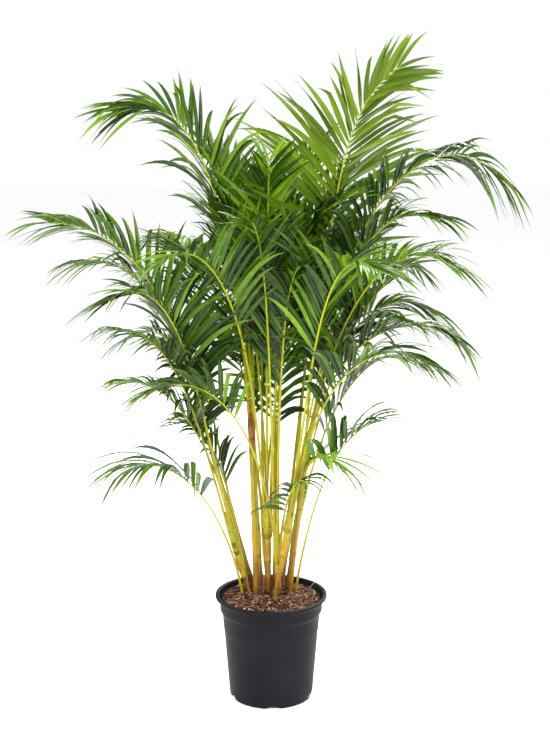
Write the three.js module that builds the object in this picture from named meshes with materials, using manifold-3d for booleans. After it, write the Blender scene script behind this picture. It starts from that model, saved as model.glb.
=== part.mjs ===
// A potted areca palm: a clump of ringed canes in a nursery pot, each cane carrying feathered fronds.
// Millimetres, +Z up. The origin is on the pot's axis at floor level, and the plant's best side faces -Y.
import * as THREE from 'three';
import { mergeVertices } from 'three/addons/utils/BufferGeometryUtils.js';
import Module from 'manifold-3d';

const wasm = await Module();
wasm.setup();

// overall sizes
const potHeight = 229;
const rimRadius = 120;
const plantHeight = 1418; // floor to the highest leaflet tip
const plantSpread = 520; // pot axis to the furthest leaflet tip at the sides

// the pot's wall, from the floor up
const wallThickness = 2;
const lipWidth = 8.5;
const lipDepth = 6;
const lipOverhang = 10; // rim beyond the collar
const collarRadius = rimRadius - lipOverhang;
const collarDepth = 38; // rim to the collar's lower edge
const collarStep = 5.4;
const bandDrop = 40; // collar's lower edge to the moulded line below it
const baseRadius = 90;
const footHeight = 9;
const footInset = 4; // foot ring inside the base
const footRadius = baseRadius - footInset;
const footWidth = 8;
const notchCount = 5;
const notchWidth = 30; // at the floor
const notchTop = 14; // under the base
const drainCount = 5;
const drainRadius = 5;
const potSides = 36; // flats round the pot

// the soil and what lies on it
const soilDrop = 10; // rim to the soil at the wall
const soilMound = 5;
const plantingDepth = 60; // how far the stems go down into the soil
const gap = 0.3; // clearance between pieces that lie against one another

// canes and fronds
const petioleRadius = 3.1;
const rachisTipRadius = 1.2;
const leafletWidth = 21;
const leafletRidge = 2.2; // thickness at the midrib

const up = new THREE.Vector3(0, 0, 1);
const degrees = Math.PI / 180;
const palm = new THREE.Group();
palm.name = 'pottedPalm';

// a small repeatable spread of numbers, so every plant built from the same sizes is the same plant
let seed = 7;
function sway(amount) {
  seed = (seed * 16807) % 2147483647;
  return ((seed % 10000) / 5000 - 1) * amount;
}

// ---------- turning shapes into closed solids and back ----------
function solidFromFaces(points, faces) {
  const mesh = new wasm.Mesh({
    numProp: 3,
    vertProperties: new Float32Array(points.flat()),
    triVerts: new Uint32Array(faces.flat()),
  });
  mesh.merge();
  return new wasm.Manifold(mesh);
}

function solidFromGeometry(geometry) {
  const plain = geometry.clone();
  plain.deleteAttribute('normal');
  plain.deleteAttribute('uv');
  const merged = mergeVertices(plain, 1e-4);
  const mesh = new wasm.Mesh({
    numProp: 3,
    vertProperties: new Float32Array(merged.attributes.position.array),
    triVerts: new Uint32Array(merged.index.array),
  });
  mesh.merge();
  return new wasm.Manifold(mesh);
}

function geometryFromSolid(solid) {
  const mesh = solid.getMesh();
  const geometry = new THREE.BufferGeometry();
  geometry.setAttribute('position', new THREE.BufferAttribute(new Float32Array(mesh.vertProperties), 3));
  geometry.setIndex(new THREE.BufferAttribute(new Uint32Array(mesh.triVerts), 1));
  geometry.computeVertexNormals();
  return geometry;
}

// rings of points joined into a tube, closed with a flat end or, where the last ring is one point, a tip
function skin(rings) {
  const points = [];
  const faces = [];
  const starts = rings.map((ring) => {
    const start = points.length;
    ring.forEach((p) => points.push([p.x, p.y, p.z]));
    return start;
  });
  const sides = rings[0].length;
  for (let r = 1; r < rings.length; r += 1) {
    const a = starts[r - 1];
    const b = starts[r];
    for (let i = 0; i < sides; i += 1) {
      const j = (i + 1) % sides;
      if (rings[r].length === 1) {
        faces.push([a + i, a + j, b]);
      } else {
        faces.push([a + i, a + j, b + j], [a + i, b + j, b + i]);
      }
    }
  }
  const last = starts[starts.length - 1];
  for (let i = 1; i < sides - 1; i += 1) {
    faces.push([0, i + 1, i]);
    if (rings[rings.length - 1].length > 1) faces.push([last, last + i, last + i + 1]);
  }
  return solidFromFaces(points, faces);
}

// the first flat of the ring faces the side direction, so a leaflet leaves the rachis through one flat
function ringAround(centre, side, normal, radius, sides) {
  const ring = [];
  for (let i = 0; i < sides; i += 1) {
    const angle = (2 * Math.PI * (i + 0.5)) / sides;
    ring.push(
      centre
        .clone()
        .addScaledVector(side, radius * Math.cos(angle))
        .addScaledVector(normal, radius * Math.sin(angle)),
    );
  }
  return ring;
}

// the part of a direction that is square to another
function squareTo(along, direction) {
  return direction.clone().addScaledVector(along, -direction.dot(along)).normalize();
}

// a stem swept along stations of { at, radius }, each ring square to the path
function stem(stations, sides, across, turn = 0) {
  const rings = stations.map((station, i) => {
    const before = stations[Math.max(i - 1, 0)].at;
    const after = stations[Math.min(i + 1, stations.length - 1)].at;
    const along = after.clone().sub(before).normalize();
    const side = squareTo(along, across).applyAxisAngle(along, turn * degrees);
    const normal = along.clone().cross(side);
    return ringAround(station.at, side, normal, station.radius, sides);
  });
  return skin(rings);
}

const placed = []; // everything already standing in the pot, for later pieces to keep clear of
function remember(solid, owner) {
  placed.push({ solid, owner, box: solid.boundingBox() });
}

function boxesMeet(a, b) {
  return [0, 1, 2].every((k) => a.min[k] <= b.max[k] && b.min[k] <= a.max[k]);
}

function isClear(solid, ...owners) {
  const box = solid.boundingBox();
  return placed.every((other) => {
    if (owners.includes(other.owner) || !boxesMeet(box, other.box)) return true;
    const shared = solid.intersect(other.solid);
    const clear = shared.isEmpty();
    shared.delete();
    return clear;
  });
}

function addMesh(name, solid, colour, roughness) {
  const material = new THREE.MeshStandardMaterial({ color: colour, roughness, metalness: 0 });
  const mesh = new THREE.Mesh(geometryFromSolid(solid), material);
  mesh.name = name;
  palm.add(mesh);
}

// ---------- pot ----------
const lipInner = rimRadius - lipWidth;
const collarLow = potHeight - collarDepth;
const bodyTop = collarRadius - collarStep;
const bandHeight = collarLow - bandDrop;
const floorTop = footHeight + wallThickness + 0.5;

// outside radius of the plain tapering wall
function wallRadius(height) {
  const share = (height - footHeight) / (collarLow - footHeight);
  return baseRadius + (bodyTop - baseRadius) * share;
}

// inside radius of the pot at a height, where the soil lies against it
function innerRadius(height) {
  if (height > collarLow) return collarRadius - wallThickness;
  return wallRadius(height) - wallThickness;
}

function potProfile() {
  const lipLow = potHeight - lipDepth;
  const inside = collarRadius - wallThickness;
  return [
    [0, footHeight],
    [footRadius - footWidth, footHeight],
    [footRadius - footWidth, 0],
    [footRadius, 0],
    [baseRadius - 1.6, 2.4],
    [baseRadius - 1.2, footHeight],
    [wallRadius(footHeight + 2), footHeight + 2],
    [wallRadius(bandHeight) + 0.6, bandHeight],
    [wallRadius(collarLow - 3) + 0.6, collarLow - 3],
    [collarRadius - 0.3, collarLow + 3],
    [collarRadius, lipLow - 9],
    [rimRadius - 2.2, lipLow - 2],
    [rimRadius, lipLow + 1],
    [rimRadius, potHeight - 2],
    [rimRadius - 2, potHeight],
    [lipInner + 1.4, potHeight],
    [lipInner, potHeight - 1.4],
    [inside, lipLow - 4],
    [inside, collarLow + 3],
    [innerRadius(collarLow - 3), collarLow - 3],
    [innerRadius(floorTop + 5), floorTop + 5],
    [innerRadius(floorTop) - 5, floorTop],
    [0, floorTop],
  ];
}

function buildPot() {
  const profile = potProfile().map(([r, z]) => new THREE.Vector2(r, z));
  const turned = new THREE.LatheGeometry(profile, potSides).rotateX(Math.PI / 2);
  let pot = solidFromGeometry(turned);
  const outline = new THREE.Shape([
    new THREE.Vector2(-notchWidth / 2 - 1, -1),
    new THREE.Vector2(notchWidth / 2 + 1, -1),
    new THREE.Vector2(notchTop / 2, footHeight - 0.6),
    new THREE.Vector2(-notchTop / 2, footHeight - 0.6),
  ]);
  for (let i = 0; i < notchCount; i += 1) {
    const turn = (-87 + (360 / notchCount) * i) * degrees;
    const notch = new THREE.ExtrudeGeometry(outline, { depth: footWidth * 4, bevelEnabled: false });
    notch.rotateX(Math.PI / 2);
    notch.rotateZ(Math.PI / 2);
    notch.translate(footRadius - footWidth * 2.2, 0, 0);
    notch.rotateZ(turn);
    pot = pot.subtract(solidFromGeometry(notch));
  }
  for (let i = 0; i < drainCount; i += 1) {
    const turn = (-51 + (360 / drainCount) * i) * degrees;
    const hole = new THREE.CylinderGeometry(drainRadius, drainRadius, 12, 10).rotateX(Math.PI / 2);
    hole.translate(footRadius * 0.6 * Math.cos(turn), footRadius * 0.6 * Math.sin(turn), floorTop - 2);
    pot = pot.subtract(solidFromGeometry(hole));
  }
  return pot;
}

// ---------- soil ----------
const soilEdge = potHeight - soilDrop;
function soilHeight(x, y) {
  const r = Math.min(Math.hypot(x, y) / collarRadius, 1);
  const lumps = Math.sin(x * 0.11 + 1.3) * Math.cos(y * 0.13 - 0.4) + 0.6 * Math.sin(x * 0.23 - y * 0.19);
  return soilEdge + soilMound * (1 - r * r) + 1.1 * lumps * (1 - r * 0.6);
}

// the soil stays inside the pot's flats, whatever way its own are turned
function soilRadius(height) {
  return innerRadius(height) * Math.cos(Math.PI / potSides) - gap;
}

function buildSoil() {
  const sides = 24;
  const east = new THREE.Vector3(1, 0, 0);
  const north = new THREE.Vector3(0, 1, 0);
  const level = (radius, height) => ringAround(new THREE.Vector3(0, 0, height), east, north, radius, sides);
  const wide = soilRadius(potHeight);
  const below = [
    level(soilRadius(floorTop) - 5, floorTop + gap),
    level(soilRadius(floorTop + 5), floorTop + 5 + gap),
    level(soilRadius(collarLow - 3), collarLow - 3),
    level(wide, collarLow + 3 + gap),
  ];
  const rough = [1, 0.76, 0.48, 0.2].map((share) =>
    level(wide * share, 0).map((p) => p.setZ(soilHeight(p.x, p.y))),
  );
  return skin([...below, ...rough, [new THREE.Vector3(0, 0, soilHeight(0, 0))]]);
}

// ---------- places in the pot and heights on the plant ----------
// the tables below are for a plant of these sizes; a wider pot spreads its stems, a taller plant stretches
const tabledCollar = 110;
const tabledPot = 229;
const tabledHeight = 1418;
const tabledSpread = 520;
const potScale = collarRadius / tabledCollar;
const heightScale = (plantHeight - potHeight) / (tabledHeight - tabledPot);
const spreadScale = plantSpread / tabledSpread;

function scaledHeight(height) {
  return potHeight + (height - tabledPot) * heightScale;
}

function standing([x, y], height) {
  return new THREE.Vector3(x * potScale, y * potScale, height);
}

// ---------- canes ----------
// foot: where it leaves the soil; head, top: where its crown stands;
// thick: radius at the soil; rings: leaf scars
const canes = [
  { name: 'cane1', foot: [-32, 16], head: [-40, 22], top: 545, thick: 6, rings: 3 },
  { name: 'cane2', foot: [-5, 27], head: [-7, 26], top: 345, thick: 5.6, rings: 2 },
  { name: 'cane3', foot: [7, -14], head: [34, -12], top: 370, thick: 5.6, rings: 2 },
  { name: 'cane4', foot: [40, 12], head: [64, 12], top: 470, thick: 4.6, rings: 2 },
  { name: 'cane5', foot: [-20, 46], head: [-30, 60], top: 350, thick: 5, rings: 3 },
  { name: 'cane6', foot: [8, 50], head: [10, 70], top: 400, thick: 5.2, rings: 3 },
  { name: 'cane7', foot: [33, 45], head: [52, 56], top: 340, thick: 4.8, rings: 2 },
  { name: 'cane8', foot: [-46, 30], head: [-74, 30], top: 310, thick: 4.6, rings: 2 },
  { name: 'cane9', foot: [-8, 74], head: [-14, 108], top: 320, thick: 4.8, rings: 2 },
  { name: 'cane10', foot: [24, 72], head: [40, 100], top: 350, thick: 4.6, rings: 2 },
  { name: 'cane11', foot: [-36, 62], head: [-66, 86], top: 300, thick: 4.6, rings: 2 },
  { name: 'cane12', foot: [16, 12], head: [14, 14], top: 290, thick: 4.2, rings: 2 },
];
const crownRadius = petioleRadius + 4.1;

function buildCane(cane, grow) {
  const foot = standing(cane.foot, soilEdge);
  const head = standing(cane.head, scaledHeight(cane.top));
  const lean = head.clone().sub(foot);
  const below = foot.clone().add(new THREE.Vector3(-lean.x * 0.08, -lean.y * 0.08, -plantingDepth));
  const path = new THREE.QuadraticBezierCurve3(
    foot,
    foot.clone().add(new THREE.Vector3(lean.x * 0.62, lean.y * 0.62, lean.z * 0.5)),
    head,
  );
  const stations = [{ at: below, radius: cane.thick }];
  for (let i = 0; i <= cane.rings; i += 1) {
    // each length narrows a little and the next starts wider, in a short step
    const share = i / (cane.rings + 0.6);
    const radius = cane.thick * (1 - 0.1 * share);
    stations.push({ at: path.getPoint(share + 0.004), radius: radius * 1.08 });
    const end = Math.min(share + 0.7 / (cane.rings + 0.6), 0.93);
    stations.push({ at: path.getPoint(end), radius: radius * 0.96 });
  }
  stations.pop();
  stations.push({ at: path.getPoint(0.9), radius: cane.thick });
  stations.push({ at: path.getPoint(0.96), radius: crownRadius });
  stations.push({ at: path.getPoint(1), radius: crownRadius - 0.4 });
  cane.axis = path.getTangent(1);
  cane.crown = head;
  const grown = stations.map((station) => ({ at: station.at, radius: station.radius + grow }));
  return stem(grown, 7, new THREE.Vector3(1, 0, 0));
}

// ---------- fronds ----------
// cane: which crown it stands on (or soil: where it leaves the soil); toward: compass angle of its lean,
// 0 = +X, 90 = +Y; reach, tip: where the rachis ends, from the pot's axis and from the floor;
// peak: how high the arch is pulled; bend: how far out; bare: share of the stalk without leaflets;
// leaf: longest leaflet; pairs: leaflets a side; turn: roll of the blade; open: leaflet angle at the base
const fronds = [
  // the tall one at the top right, its blade turned to the front, and its neighbours on that side
  {
    cane: 'cane4', toward: 4, reach: 264, tip: 1344, peak: 1360, bend: 0.42, bare: 0.5,
    leaf: 292, pairs: 10, turn: -62, open: 58, lift: 8, hang: 0.1, width: 0.8,
  },
  {
    cane: 'cane4', toward: -5, reach: 470, tip: 1112, peak: 1345, bend: 0.46, bare: 0.46,
    leaf: 225, pairs: 9, turn: -24, open: 54, lift: 30, hang: 0.42, width: 0.8,
  },
  {
    cane: 'cane3', toward: -10, reach: 345, tip: 1040, peak: 1150, bend: 0.46, bare: 0.48,
    leaf: 225, pairs: 7, turn: -22, open: 50, lift: 34, hang: 0.3, width: 0.8,
  },
  {
    cane: 'cane7', toward: 6, reach: 350, tip: 965, peak: 925, bend: 0.4, bare: 0.46,
    leaf: 225, pairs: 6, turn: -30, open: 46, lift: 34, hang: 0.26, width: 0.8,
  },
  {
    cane: 'cane4', toward: -7, reach: 376, tip: 806, peak: 895, bend: 0.48, bare: 0.44,
    leaf: 220, pairs: 7, turn: -20, open: 50, lift: 30, hang: 0.36, width: 0.8,
  },
  {
    cane: 'cane7', toward: 20, reach: 345, tip: 716, peak: 800, bend: 0.5, bare: 0.45,
    leaf: 205, pairs: 5, turn: -20, open: 50, lift: 30, hang: 0.4, width: 0.8,
  },
  {
    cane: 'cane4', toward: -24, reach: 162, tip: 520, peak: 575, bend: 0.6, bare: 0.3,
    leaf: 170, pairs: 4, turn: -14, open: 48, lift: 24, hang: 0.34,
  },
  {
    soil: [52, 24], toward: -6, reach: 210, tip: 612, peak: 570, bend: 0.45, bare: 0.68,
    leaf: 250, pairs: 4, turn: -24, open: 44, lift: 26, hang: 0.3, width: 0.95,
  },
  // the left side, from the top down
  {
    cane: 'cane1', toward: 177, reach: 308, tip: 1250, peak: 1370, bend: 0.36, bare: 0.46,
    leaf: 276, pairs: 9, turn: 44, open: 50, lift: 22, hang: 0.2, width: 0.82,
  },
  {
    cane: 'cane8', toward: 187, reach: 460, tip: 1040, peak: 1050, bend: 0.34, bare: 0.4,
    leaf: 270, pairs: 8, turn: 34, open: 50, lift: 34, hang: 0.18, width: 0.8,
  },
  {
    cane: 'cane11', toward: 172, reach: 418, tip: 935, peak: 1010, bend: 0.45, bare: 0.44,
    leaf: 230, pairs: 7, turn: 24, open: 50, lift: 30, hang: 0.3, width: 0.8,
  },
  {
    cane: 'cane8', toward: 196, reach: 340, tip: 822, peak: 845, bend: 0.45, bare: 0.44,
    leaf: 205, pairs: 6, turn: 16, open: 50, lift: 30, hang: 0.36, width: 0.8,
  },
  {
    soil: [-54, 42], toward: 181, reach: 316, tip: 696, peak: 725, bend: 0.5, bare: 0.58,
    leaf: 180, pairs: 5, turn: 16, open: 48, lift: 34, hang: 0.34, width: 0.8,
  },
  {
    soil: [-50, 66], toward: 158, reach: 240, tip: 578, peak: 650, bend: 0.55, bare: 0.55,
    leaf: 165, pairs: 3, turn: 0, open: 44, lift: 26, hang: 0.4, width: 0.8,
  },
  {
    soil: [-62, 22], toward: 193, reach: 290, tip: 530, peak: 545, bend: 0.5, bare: 0.58,
    leaf: 280, pairs: 4, turn: 16, open: 46, lift: 20, hang: 0.46, width: 0.95,
  },
  // upright ones in the heart of the plant
  {
    cane: 'cane2', toward: 268, reach: 80, tip: 1165, peak: 1080, bend: 0.3, bare: 0.62,
    leaf: 215, pairs: 6, turn: 0, open: 50, lift: 10, hang: 0.06, width: 0.85,
  },
  {
    cane: 'cane1', toward: 150, reach: 150, tip: 1175, peak: 1120, bend: 0.3, bare: 0.5,
    leaf: 250, pairs: 5, turn: 0, open: 34, lift: 30, hang: 0.06, width: 0.85,
  },
  {
    cane: 'cane6', toward: 62, reach: 200, tip: 1170, peak: 1180, bend: 0.3, bare: 0.5,
    leaf: 250, pairs: 5, turn: 0, open: 36, lift: 30, hang: 0.12, width: 0.85,
  },
  {
    cane: 'cane5', toward: 126, reach: 200, tip: 1160, peak: 1170, bend: 0.3, bare: 0.5,
    leaf: 245, pairs: 5, turn: 0, open: 38, lift: 30, hang: 0.12, width: 0.85,
  },
  {
    cane: 'cane10', toward: 38, reach: 240, tip: 1135, peak: 1110, bend: 0.3, bare: 0.48,
    leaf: 245, pairs: 5, turn: 0, open: 40, lift: 30, hang: 0.14, width: 0.85,
  },
  {
    cane: 'cane2', toward: 212, reach: 150, tip: 1070, peak: 1050, bend: 0.3, bare: 0.48,
    leaf: 250, pairs: 5, turn: 10, open: 34, lift: 30, hang: 0.08, width: 0.85,
  },
  {
    cane: 'cane2', toward: 322, reach: 170, tip: 1080, peak: 1080, bend: 0.3, bare: 0.52,
    leaf: 245, pairs: 5, turn: -10, open: 36, lift: 30, hang: 0.1, width: 0.85,
  },
  {
    cane: 'cane12', toward: 288, reach: 180, tip: 960, peak: 950, bend: 0.3, bare: 0.56,
    leaf: 245, pairs: 4, turn: 0, open: 38, lift: 30, hang: 0.14, width: 0.9,
  },
  // arching towards the front
  {
    cane: 'cane12', toward: 262, reach: 235, tip: 1050, peak: 1010, bend: 0.36, bare: 0.58,
    leaf: 245, pairs: 5, turn: 0, open: 40, lift: 32, hang: 0.12, width: 0.85,
  },
  {
    cane: 'cane3', toward: 302, reach: 368, tip: 970, peak: 1060, bend: 0.42, bare: 0.54,
    leaf: 245, pairs: 5, turn: -14, open: 42, lift: 38, hang: 0.2, width: 0.85,
  },
  {
    cane: 'cane2', toward: 238, reach: 378, tip: 985, peak: 1080, bend: 0.42, bare: 0.56,
    leaf: 245, pairs: 5, turn: 14, open: 42, lift: 38, hang: 0.2, width: 0.85,
  },
  {
    cane: 'cane8', toward: 216, reach: 385, tip: 900, peak: 1000, bend: 0.46, bare: 0.5,
    leaf: 245, pairs: 5, turn: 18, open: 46, lift: 36, hang: 0.24, width: 0.85,
  },
  {
    cane: 'cane12', toward: 214, reach: 290, tip: 700, peak: 780, bend: 0.45, bare: 0.58,
    leaf: 190, pairs: 4, turn: 22, open: 42, lift: 34, hang: 0.26, width: 0.85,
  },
  {
    cane: 'cane3', toward: 334, reach: 350, tip: 760, peak: 860, bend: 0.48, bare: 0.5,
    leaf: 210, pairs: 5, turn: -14, open: 48, lift: 32, hang: 0.36, width: 0.85,
  },
  {
    cane: 'cane3', toward: 338, reach: 395, tip: 955, peak: 1090, bend: 0.48, bare: 0.5,
    leaf: 225, pairs: 6, turn: -16, open: 50, lift: 34, hang: 0.32, width: 0.85,
  },
  {
    cane: 'cane12', toward: 318, reach: 120, tip: 500, peak: 520, bend: 0.5, bare: 0.5,
    leaf: 150, pairs: 2, turn: 0, open: 50, lift: 20, hang: 0.5, width: 0.8,
  },
  // arching towards the back
  {
    cane: 'cane9', toward: 92, reach: 345, tip: 900, peak: 1060, bend: 0.5, bare: 0.48,
    leaf: 225, pairs: 5, turn: 0, open: 50, lift: 32, hang: 0.4, width: 0.85,
  },
  {
    cane: 'cane9', toward: 72, reach: 330, tip: 700, peak: 840, bend: 0.5, bare: 0.46,
    leaf: 205, pairs: 4, turn: 0, open: 50, lift: 30, hang: 0.44, width: 0.85,
  },
  {
    cane: 'cane9', toward: 118, reach: 350, tip: 750, peak: 900, bend: 0.5, bare: 0.46,
    leaf: 205, pairs: 4, turn: 0, open: 50, lift: 30, hang: 0.44, width: 0.85,
  },
  {
    cane: 'cane10', toward: 58, reach: 375, tip: 980, peak: 1170, bend: 0.5, bare: 0.5,
    leaf: 225, pairs: 5, turn: 0, open: 50, lift: 34, hang: 0.38, width: 0.85,
  },
  {
    cane: 'cane10', toward: 34, reach: 385, tip: 810, peak: 960, bend: 0.5, bare: 0.48,
    leaf: 210, pairs: 5, turn: 0, open: 50, lift: 32, hang: 0.42, width: 0.85,
  },
  {
    cane: 'cane11', toward: 133, reach: 375, tip: 970, peak: 1140, bend: 0.5, bare: 0.5,
    leaf: 225, pairs: 5, turn: 0, open: 50, lift: 34, hang: 0.38, width: 0.85,
  },
  {
    cane: 'cane11', toward: 150, reach: 365, tip: 750, peak: 870, bend: 0.5, bare: 0.46,
    leaf: 205, pairs: 4, turn: 0, open: 50, lift: 32, hang: 0.42, width: 0.85,
  },
  {
    cane: 'cane5', toward: 108, reach: 310, tip: 1090, peak: 1260, bend: 0.45, bare: 0.5,
    leaf: 230, pairs: 5, turn: 0, open: 46, lift: 34, hang: 0.3, width: 0.85,
  },
  {
    cane: 'cane6', toward: 84, reach: 290, tip: 1120, peak: 1260, bend: 0.42, bare: 0.5,
    leaf: 235, pairs: 4, turn: 0, open: 44, lift: 34, hang: 0.28, width: 0.85,
  },
  {
    cane: 'cane7', toward: 32, reach: 375, tip: 910, peak: 1060, bend: 0.5, bare: 0.48,
    leaf: 220, pairs: 5, turn: 0, open: 50, lift: 36, hang: 0.36, width: 0.85,
  },
];

// dry sheath ends and a straw that stand in the soil; top is above the soil
const twigs = [
  { name: 'drySheath1', foot: [-46, 18], head: [-53, 17], top: 40, thick: 2.4, colour: 0x7a4a2c },
  { name: 'drySheath2', foot: [-18, 20], head: [-15, 19], top: 44, thick: 2.2, colour: 0x8a5230 },
  { name: 'straw', foot: [80, 50], head: [112, 58], top: 30, thick: 0.9, colour: 0x9c8468 },
];
const fallenLeaf = { from: [88, 30], to: [92, -6], width: 8, thick: 1 };

const stalkStations = 9;

function compass(angle) {
  return new THREE.Vector3(Math.cos(angle * degrees), Math.sin(angle * degrees), 0);
}

// a ring of seats on each crown, one for each of its fronds
function layOutSeats(cane) {
  const here = fronds.filter((frond) => frond.cane === cane.name);
  const step = 360 / here.length;
  const circle = here.length > 1 ? (petioleRadius + 2 * gap) / Math.sin(Math.PI / here.length) : 0;
  const across = squareTo(cane.axis, new THREE.Vector3(1, 0, 0));
  const other = cane.axis.clone().cross(across);
  cane.seats = here.map((frond, i) => {
    const angle = here[0].toward + i * step;
    const at = cane.crown
      .clone()
      .addScaledVector(across, circle * Math.cos(angle * degrees))
      .addScaledVector(other, circle * Math.sin(angle * degrees))
      .addScaledVector(cane.axis, 3 * gap);
    return { angle, at };
  });
}

// every way of sharing out the seats, the one where fronds face their own seats first
function sharings(cane, here) {
  let ways = [[]];
  for (const frond of here) {
    ways = ways.flatMap((way) => {
      const free = cane.seats.filter((seat) => !way.includes(seat));
      return free.map((seat) => [...way, seat]);
    });
  }
  const off = (way) => {
    const turns = way.map((seat, i) => (seat.angle - here[i].toward) * degrees);
    return turns.reduce((sum, turn) => sum - Math.cos(turn), 0);
  };
  return ways.sort((a, b) => off(a) - off(b));
}

function stalkPath(frond, aside, rise, early) {
  const outward = compass(frond.toward + aside);
  const end = outward.clone().multiplyScalar(frond.reach * spreadScale);
  end.setZ(scaledHeight(frond.tip + rise));
  const peak = scaledHeight(frond.peak + rise);
  const start = frond.seat;
  const away = end.clone().sub(start).setZ(0);
  const first = start
    .clone()
    .addScaledVector(frond.axis, (peak - start.z) * 0.5)
    .addScaledVector(away, early);
  const second = start.clone().addScaledVector(away, frond.bend).setZ(peak);
  return new THREE.CubicBezierCurve3(start, first, second, end);
}

function stalkRadius(frond, share) {
  const thick = frond.soil ? petioleRadius * 0.75 : petioleRadius;
  return thick + (rachisTipRadius - thick) * share ** 1.3;
}

function buildStalk(frond, path, grow) {
  const stations = [];
  if (frond.soil) {
    const below = frond.seat.clone().addScaledVector(frond.axis, -plantingDepth * 0.8);
    stations.push({ at: below, radius: petioleRadius * 0.7 + grow });
  }
  for (let i = 0; i < stalkStations; i += 1) {
    const share = i / (stalkStations - 1);
    stations.push({ at: path.getPointAt(share), radius: stalkRadius(frond, share) + grow });
  }
  return stem(stations, 4, compass(frond.toward + 90), frond.turn);
}

// how much higher a stalk may be raised, and how early it may lean out
const stalkTries = [
  [0, 0.04],
  [0, 0.12],
  [25, 0.04],
  [-25, 0.1],
  [0, 0.2],
  [40, 0.15],
];

// the first way up that clears everything already standing: a little aside, or a little higher or lower
function raiseStalk(frond, at, axis) {
  frond.seat = at;
  frond.axis = axis;
  for (const [rise, early] of stalkTries) {
    for (const aside of [0, 3, -3, 6, -6, 9, -9, 13, -13]) {
      const path = stalkPath(frond, aside, rise, early);
      const roomy = buildStalk(frond, path, gap);
      if (isClear(roomy, frond.name, frond.cane)) {
        frond.path = path;
        frond.roomy = roomy;
        frond.solid = buildStalk(frond, path, 0);
        remember(roomy, frond.name);
        return true;
      }
      roomy.delete();
    }
  }
  return false;
}

function raiseFromCane(cane) {
  const here = fronds.filter((frond) => frond.cane === cane.name);
  const standing = placed.length;
  for (const way of sharings(cane, here)) {
    if (here.every((frond, i) => raiseStalk(frond, way[i].at, cane.axis))) return;
    placed.length = standing;
  }
  throw new Error(`no room for the stalks of ${cane.name}`);
}

function raiseFromSoil(frond) {
  const axis = compass(frond.toward).multiplyScalar(0.12).add(up).normalize();
  const at = standing(frond.soil, soilEdge);
  if (!raiseStalk(frond, at, axis)) throw new Error(`no room for the stalk of ${frond.name}`);
}

// the point and direction on the swept stalk itself, which is straight between its stations
function onStalk(frond, share) {
  const place = share * (stalkStations - 1);
  const low = Math.min(Math.floor(place), stalkStations - 2);
  const a = frond.path.getPointAt(low / (stalkStations - 1));
  const b = frond.path.getPointAt((low + 1) / (stalkStations - 1));
  return {
    at: a.clone().lerp(b, place - low),
    along: b.clone().sub(a).normalize(),
    radius: stalkRadius(frond, share),
  };
}

// one leaflet: a folded strip from the middle of the rachis, raised from it, then bending down
function buildLeaflet(frond, root, side, angle, lift, length, width, hang, grow, fromShare = 0) {
  const across = squareTo(root.along, compass(frond.toward + 90));
  across.applyAxisAngle(root.along, frond.turn * degrees);
  const above = root.along.clone().cross(across);
  const aim = across
    .clone()
    .multiplyScalar(side * Math.cos(lift * degrees))
    .addScaledVector(above, Math.sin(lift * degrees))
    .multiplyScalar(Math.sin(angle * degrees))
    .addScaledVector(root.along, Math.cos(angle * degrees));
  aim.normalize();
  const flatwise = squareTo(aim, root.along).multiplyScalar(-side);
  // share of the length, half width, thickness; the first lies inside the rachis
  const steps = [
    [0, root.radius * 0.6, root.radius * 0.4],
    [0.24, width * 0.5, leafletRidge],
    [0.64, width * 0.36, leafletRidge * 0.8],
  ];
  if (fromShare) steps.splice(0, 2, [fromShare, width * 0.48, leafletRidge]);
  const rings = steps.map(([share, broad, deep]) => {
    const at = root.at.clone().addScaledVector(aim, length * share);
    at.z -= length * hang * share * share;
    const along = aim.clone().addScaledVector(up, -2 * hang * share).normalize();
    const edge = flatwise.clone().applyQuaternion(new THREE.Quaternion().setFromUnitVectors(aim, along));
    const top = along.clone().cross(edge);
    const half = broad + 3 * grow;
    return [
      at.clone().addScaledVector(edge, half).addScaledVector(top, -grow),
      at.clone().addScaledVector(top, deep + 1.5 * grow),
      at.clone().addScaledVector(edge, -half).addScaledVector(top, -grow),
    ];
  });
  const end = root.at.clone().addScaledVector(aim, length + 2 * grow);
  end.z -= length * hang;
  return skin([...rings, [end]]);
}

// where a leaflet may go if its own place is taken: further along, higher or lower, and in the end shorter
const leafletTries = [
  [0, 0, 1],
  [7, 0, 1],
  [-7, 0, 1],
  [0, 9, 1],
  [0, -9, 1],
  [10, 12, 0.9],
  [-10, -12, 0.9],
  [0, 20, 0.7],
  [0, -20, 0.7],
];

function leafFrond(frond) {
  const parts = [frond.solid];
  const siblings = [frond.roomy];
  const length = frond.leaf * spreadScale;
  for (let i = 0; i <= frond.pairs; i += 1) {
    const along = i / frond.pairs;
    for (const side of [1, -1]) {
      const share = Math.min(frond.bare + (1 - frond.bare) * (along + (side * 0.12) / frond.pairs), 0.985);
      const root = onStalk(frond, share);
      const swell = 0.72 + 0.28 * Math.sin(Math.PI * Math.min(along * 1.4 + 0.15, 1)) - 0.36 * along ** 2.2;
      const size = length * swell * (1 + sway(0.05));
      const angle = frond.open + (24 - frond.open) * along ** 1.2 + sway(4);
      const lift = frond.lift * (1 - 0.6 * along) + sway(4);
      const broad = leafletWidth * (frond.width || 1) * (0.82 + 0.18 * swell);
      const width = Math.min(broad, 0.36 * size * Math.sin(angle * degrees));
      for (const [aside, raise, shorter] of leafletTries) {
        const shape = [frond, root, side, angle + aside, lift + raise, size * shorter, width, frond.hang];
        const roomy = buildLeaflet(...shape, gap);
        const outer = buildLeaflet(...shape, gap, 0.3);
        const free = siblings.every((other) => outer.intersect(other).isEmpty());
        if (free && isClear(roomy, frond.name)) {
          parts.push(buildLeaflet(...shape, 0));
          remember(roomy, frond.name);
          siblings.push(outer);
          break;
        }
        roomy.delete();
      }
    }
  }
  return wasm.Manifold.union(parts).simplify(0.02);
}

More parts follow.
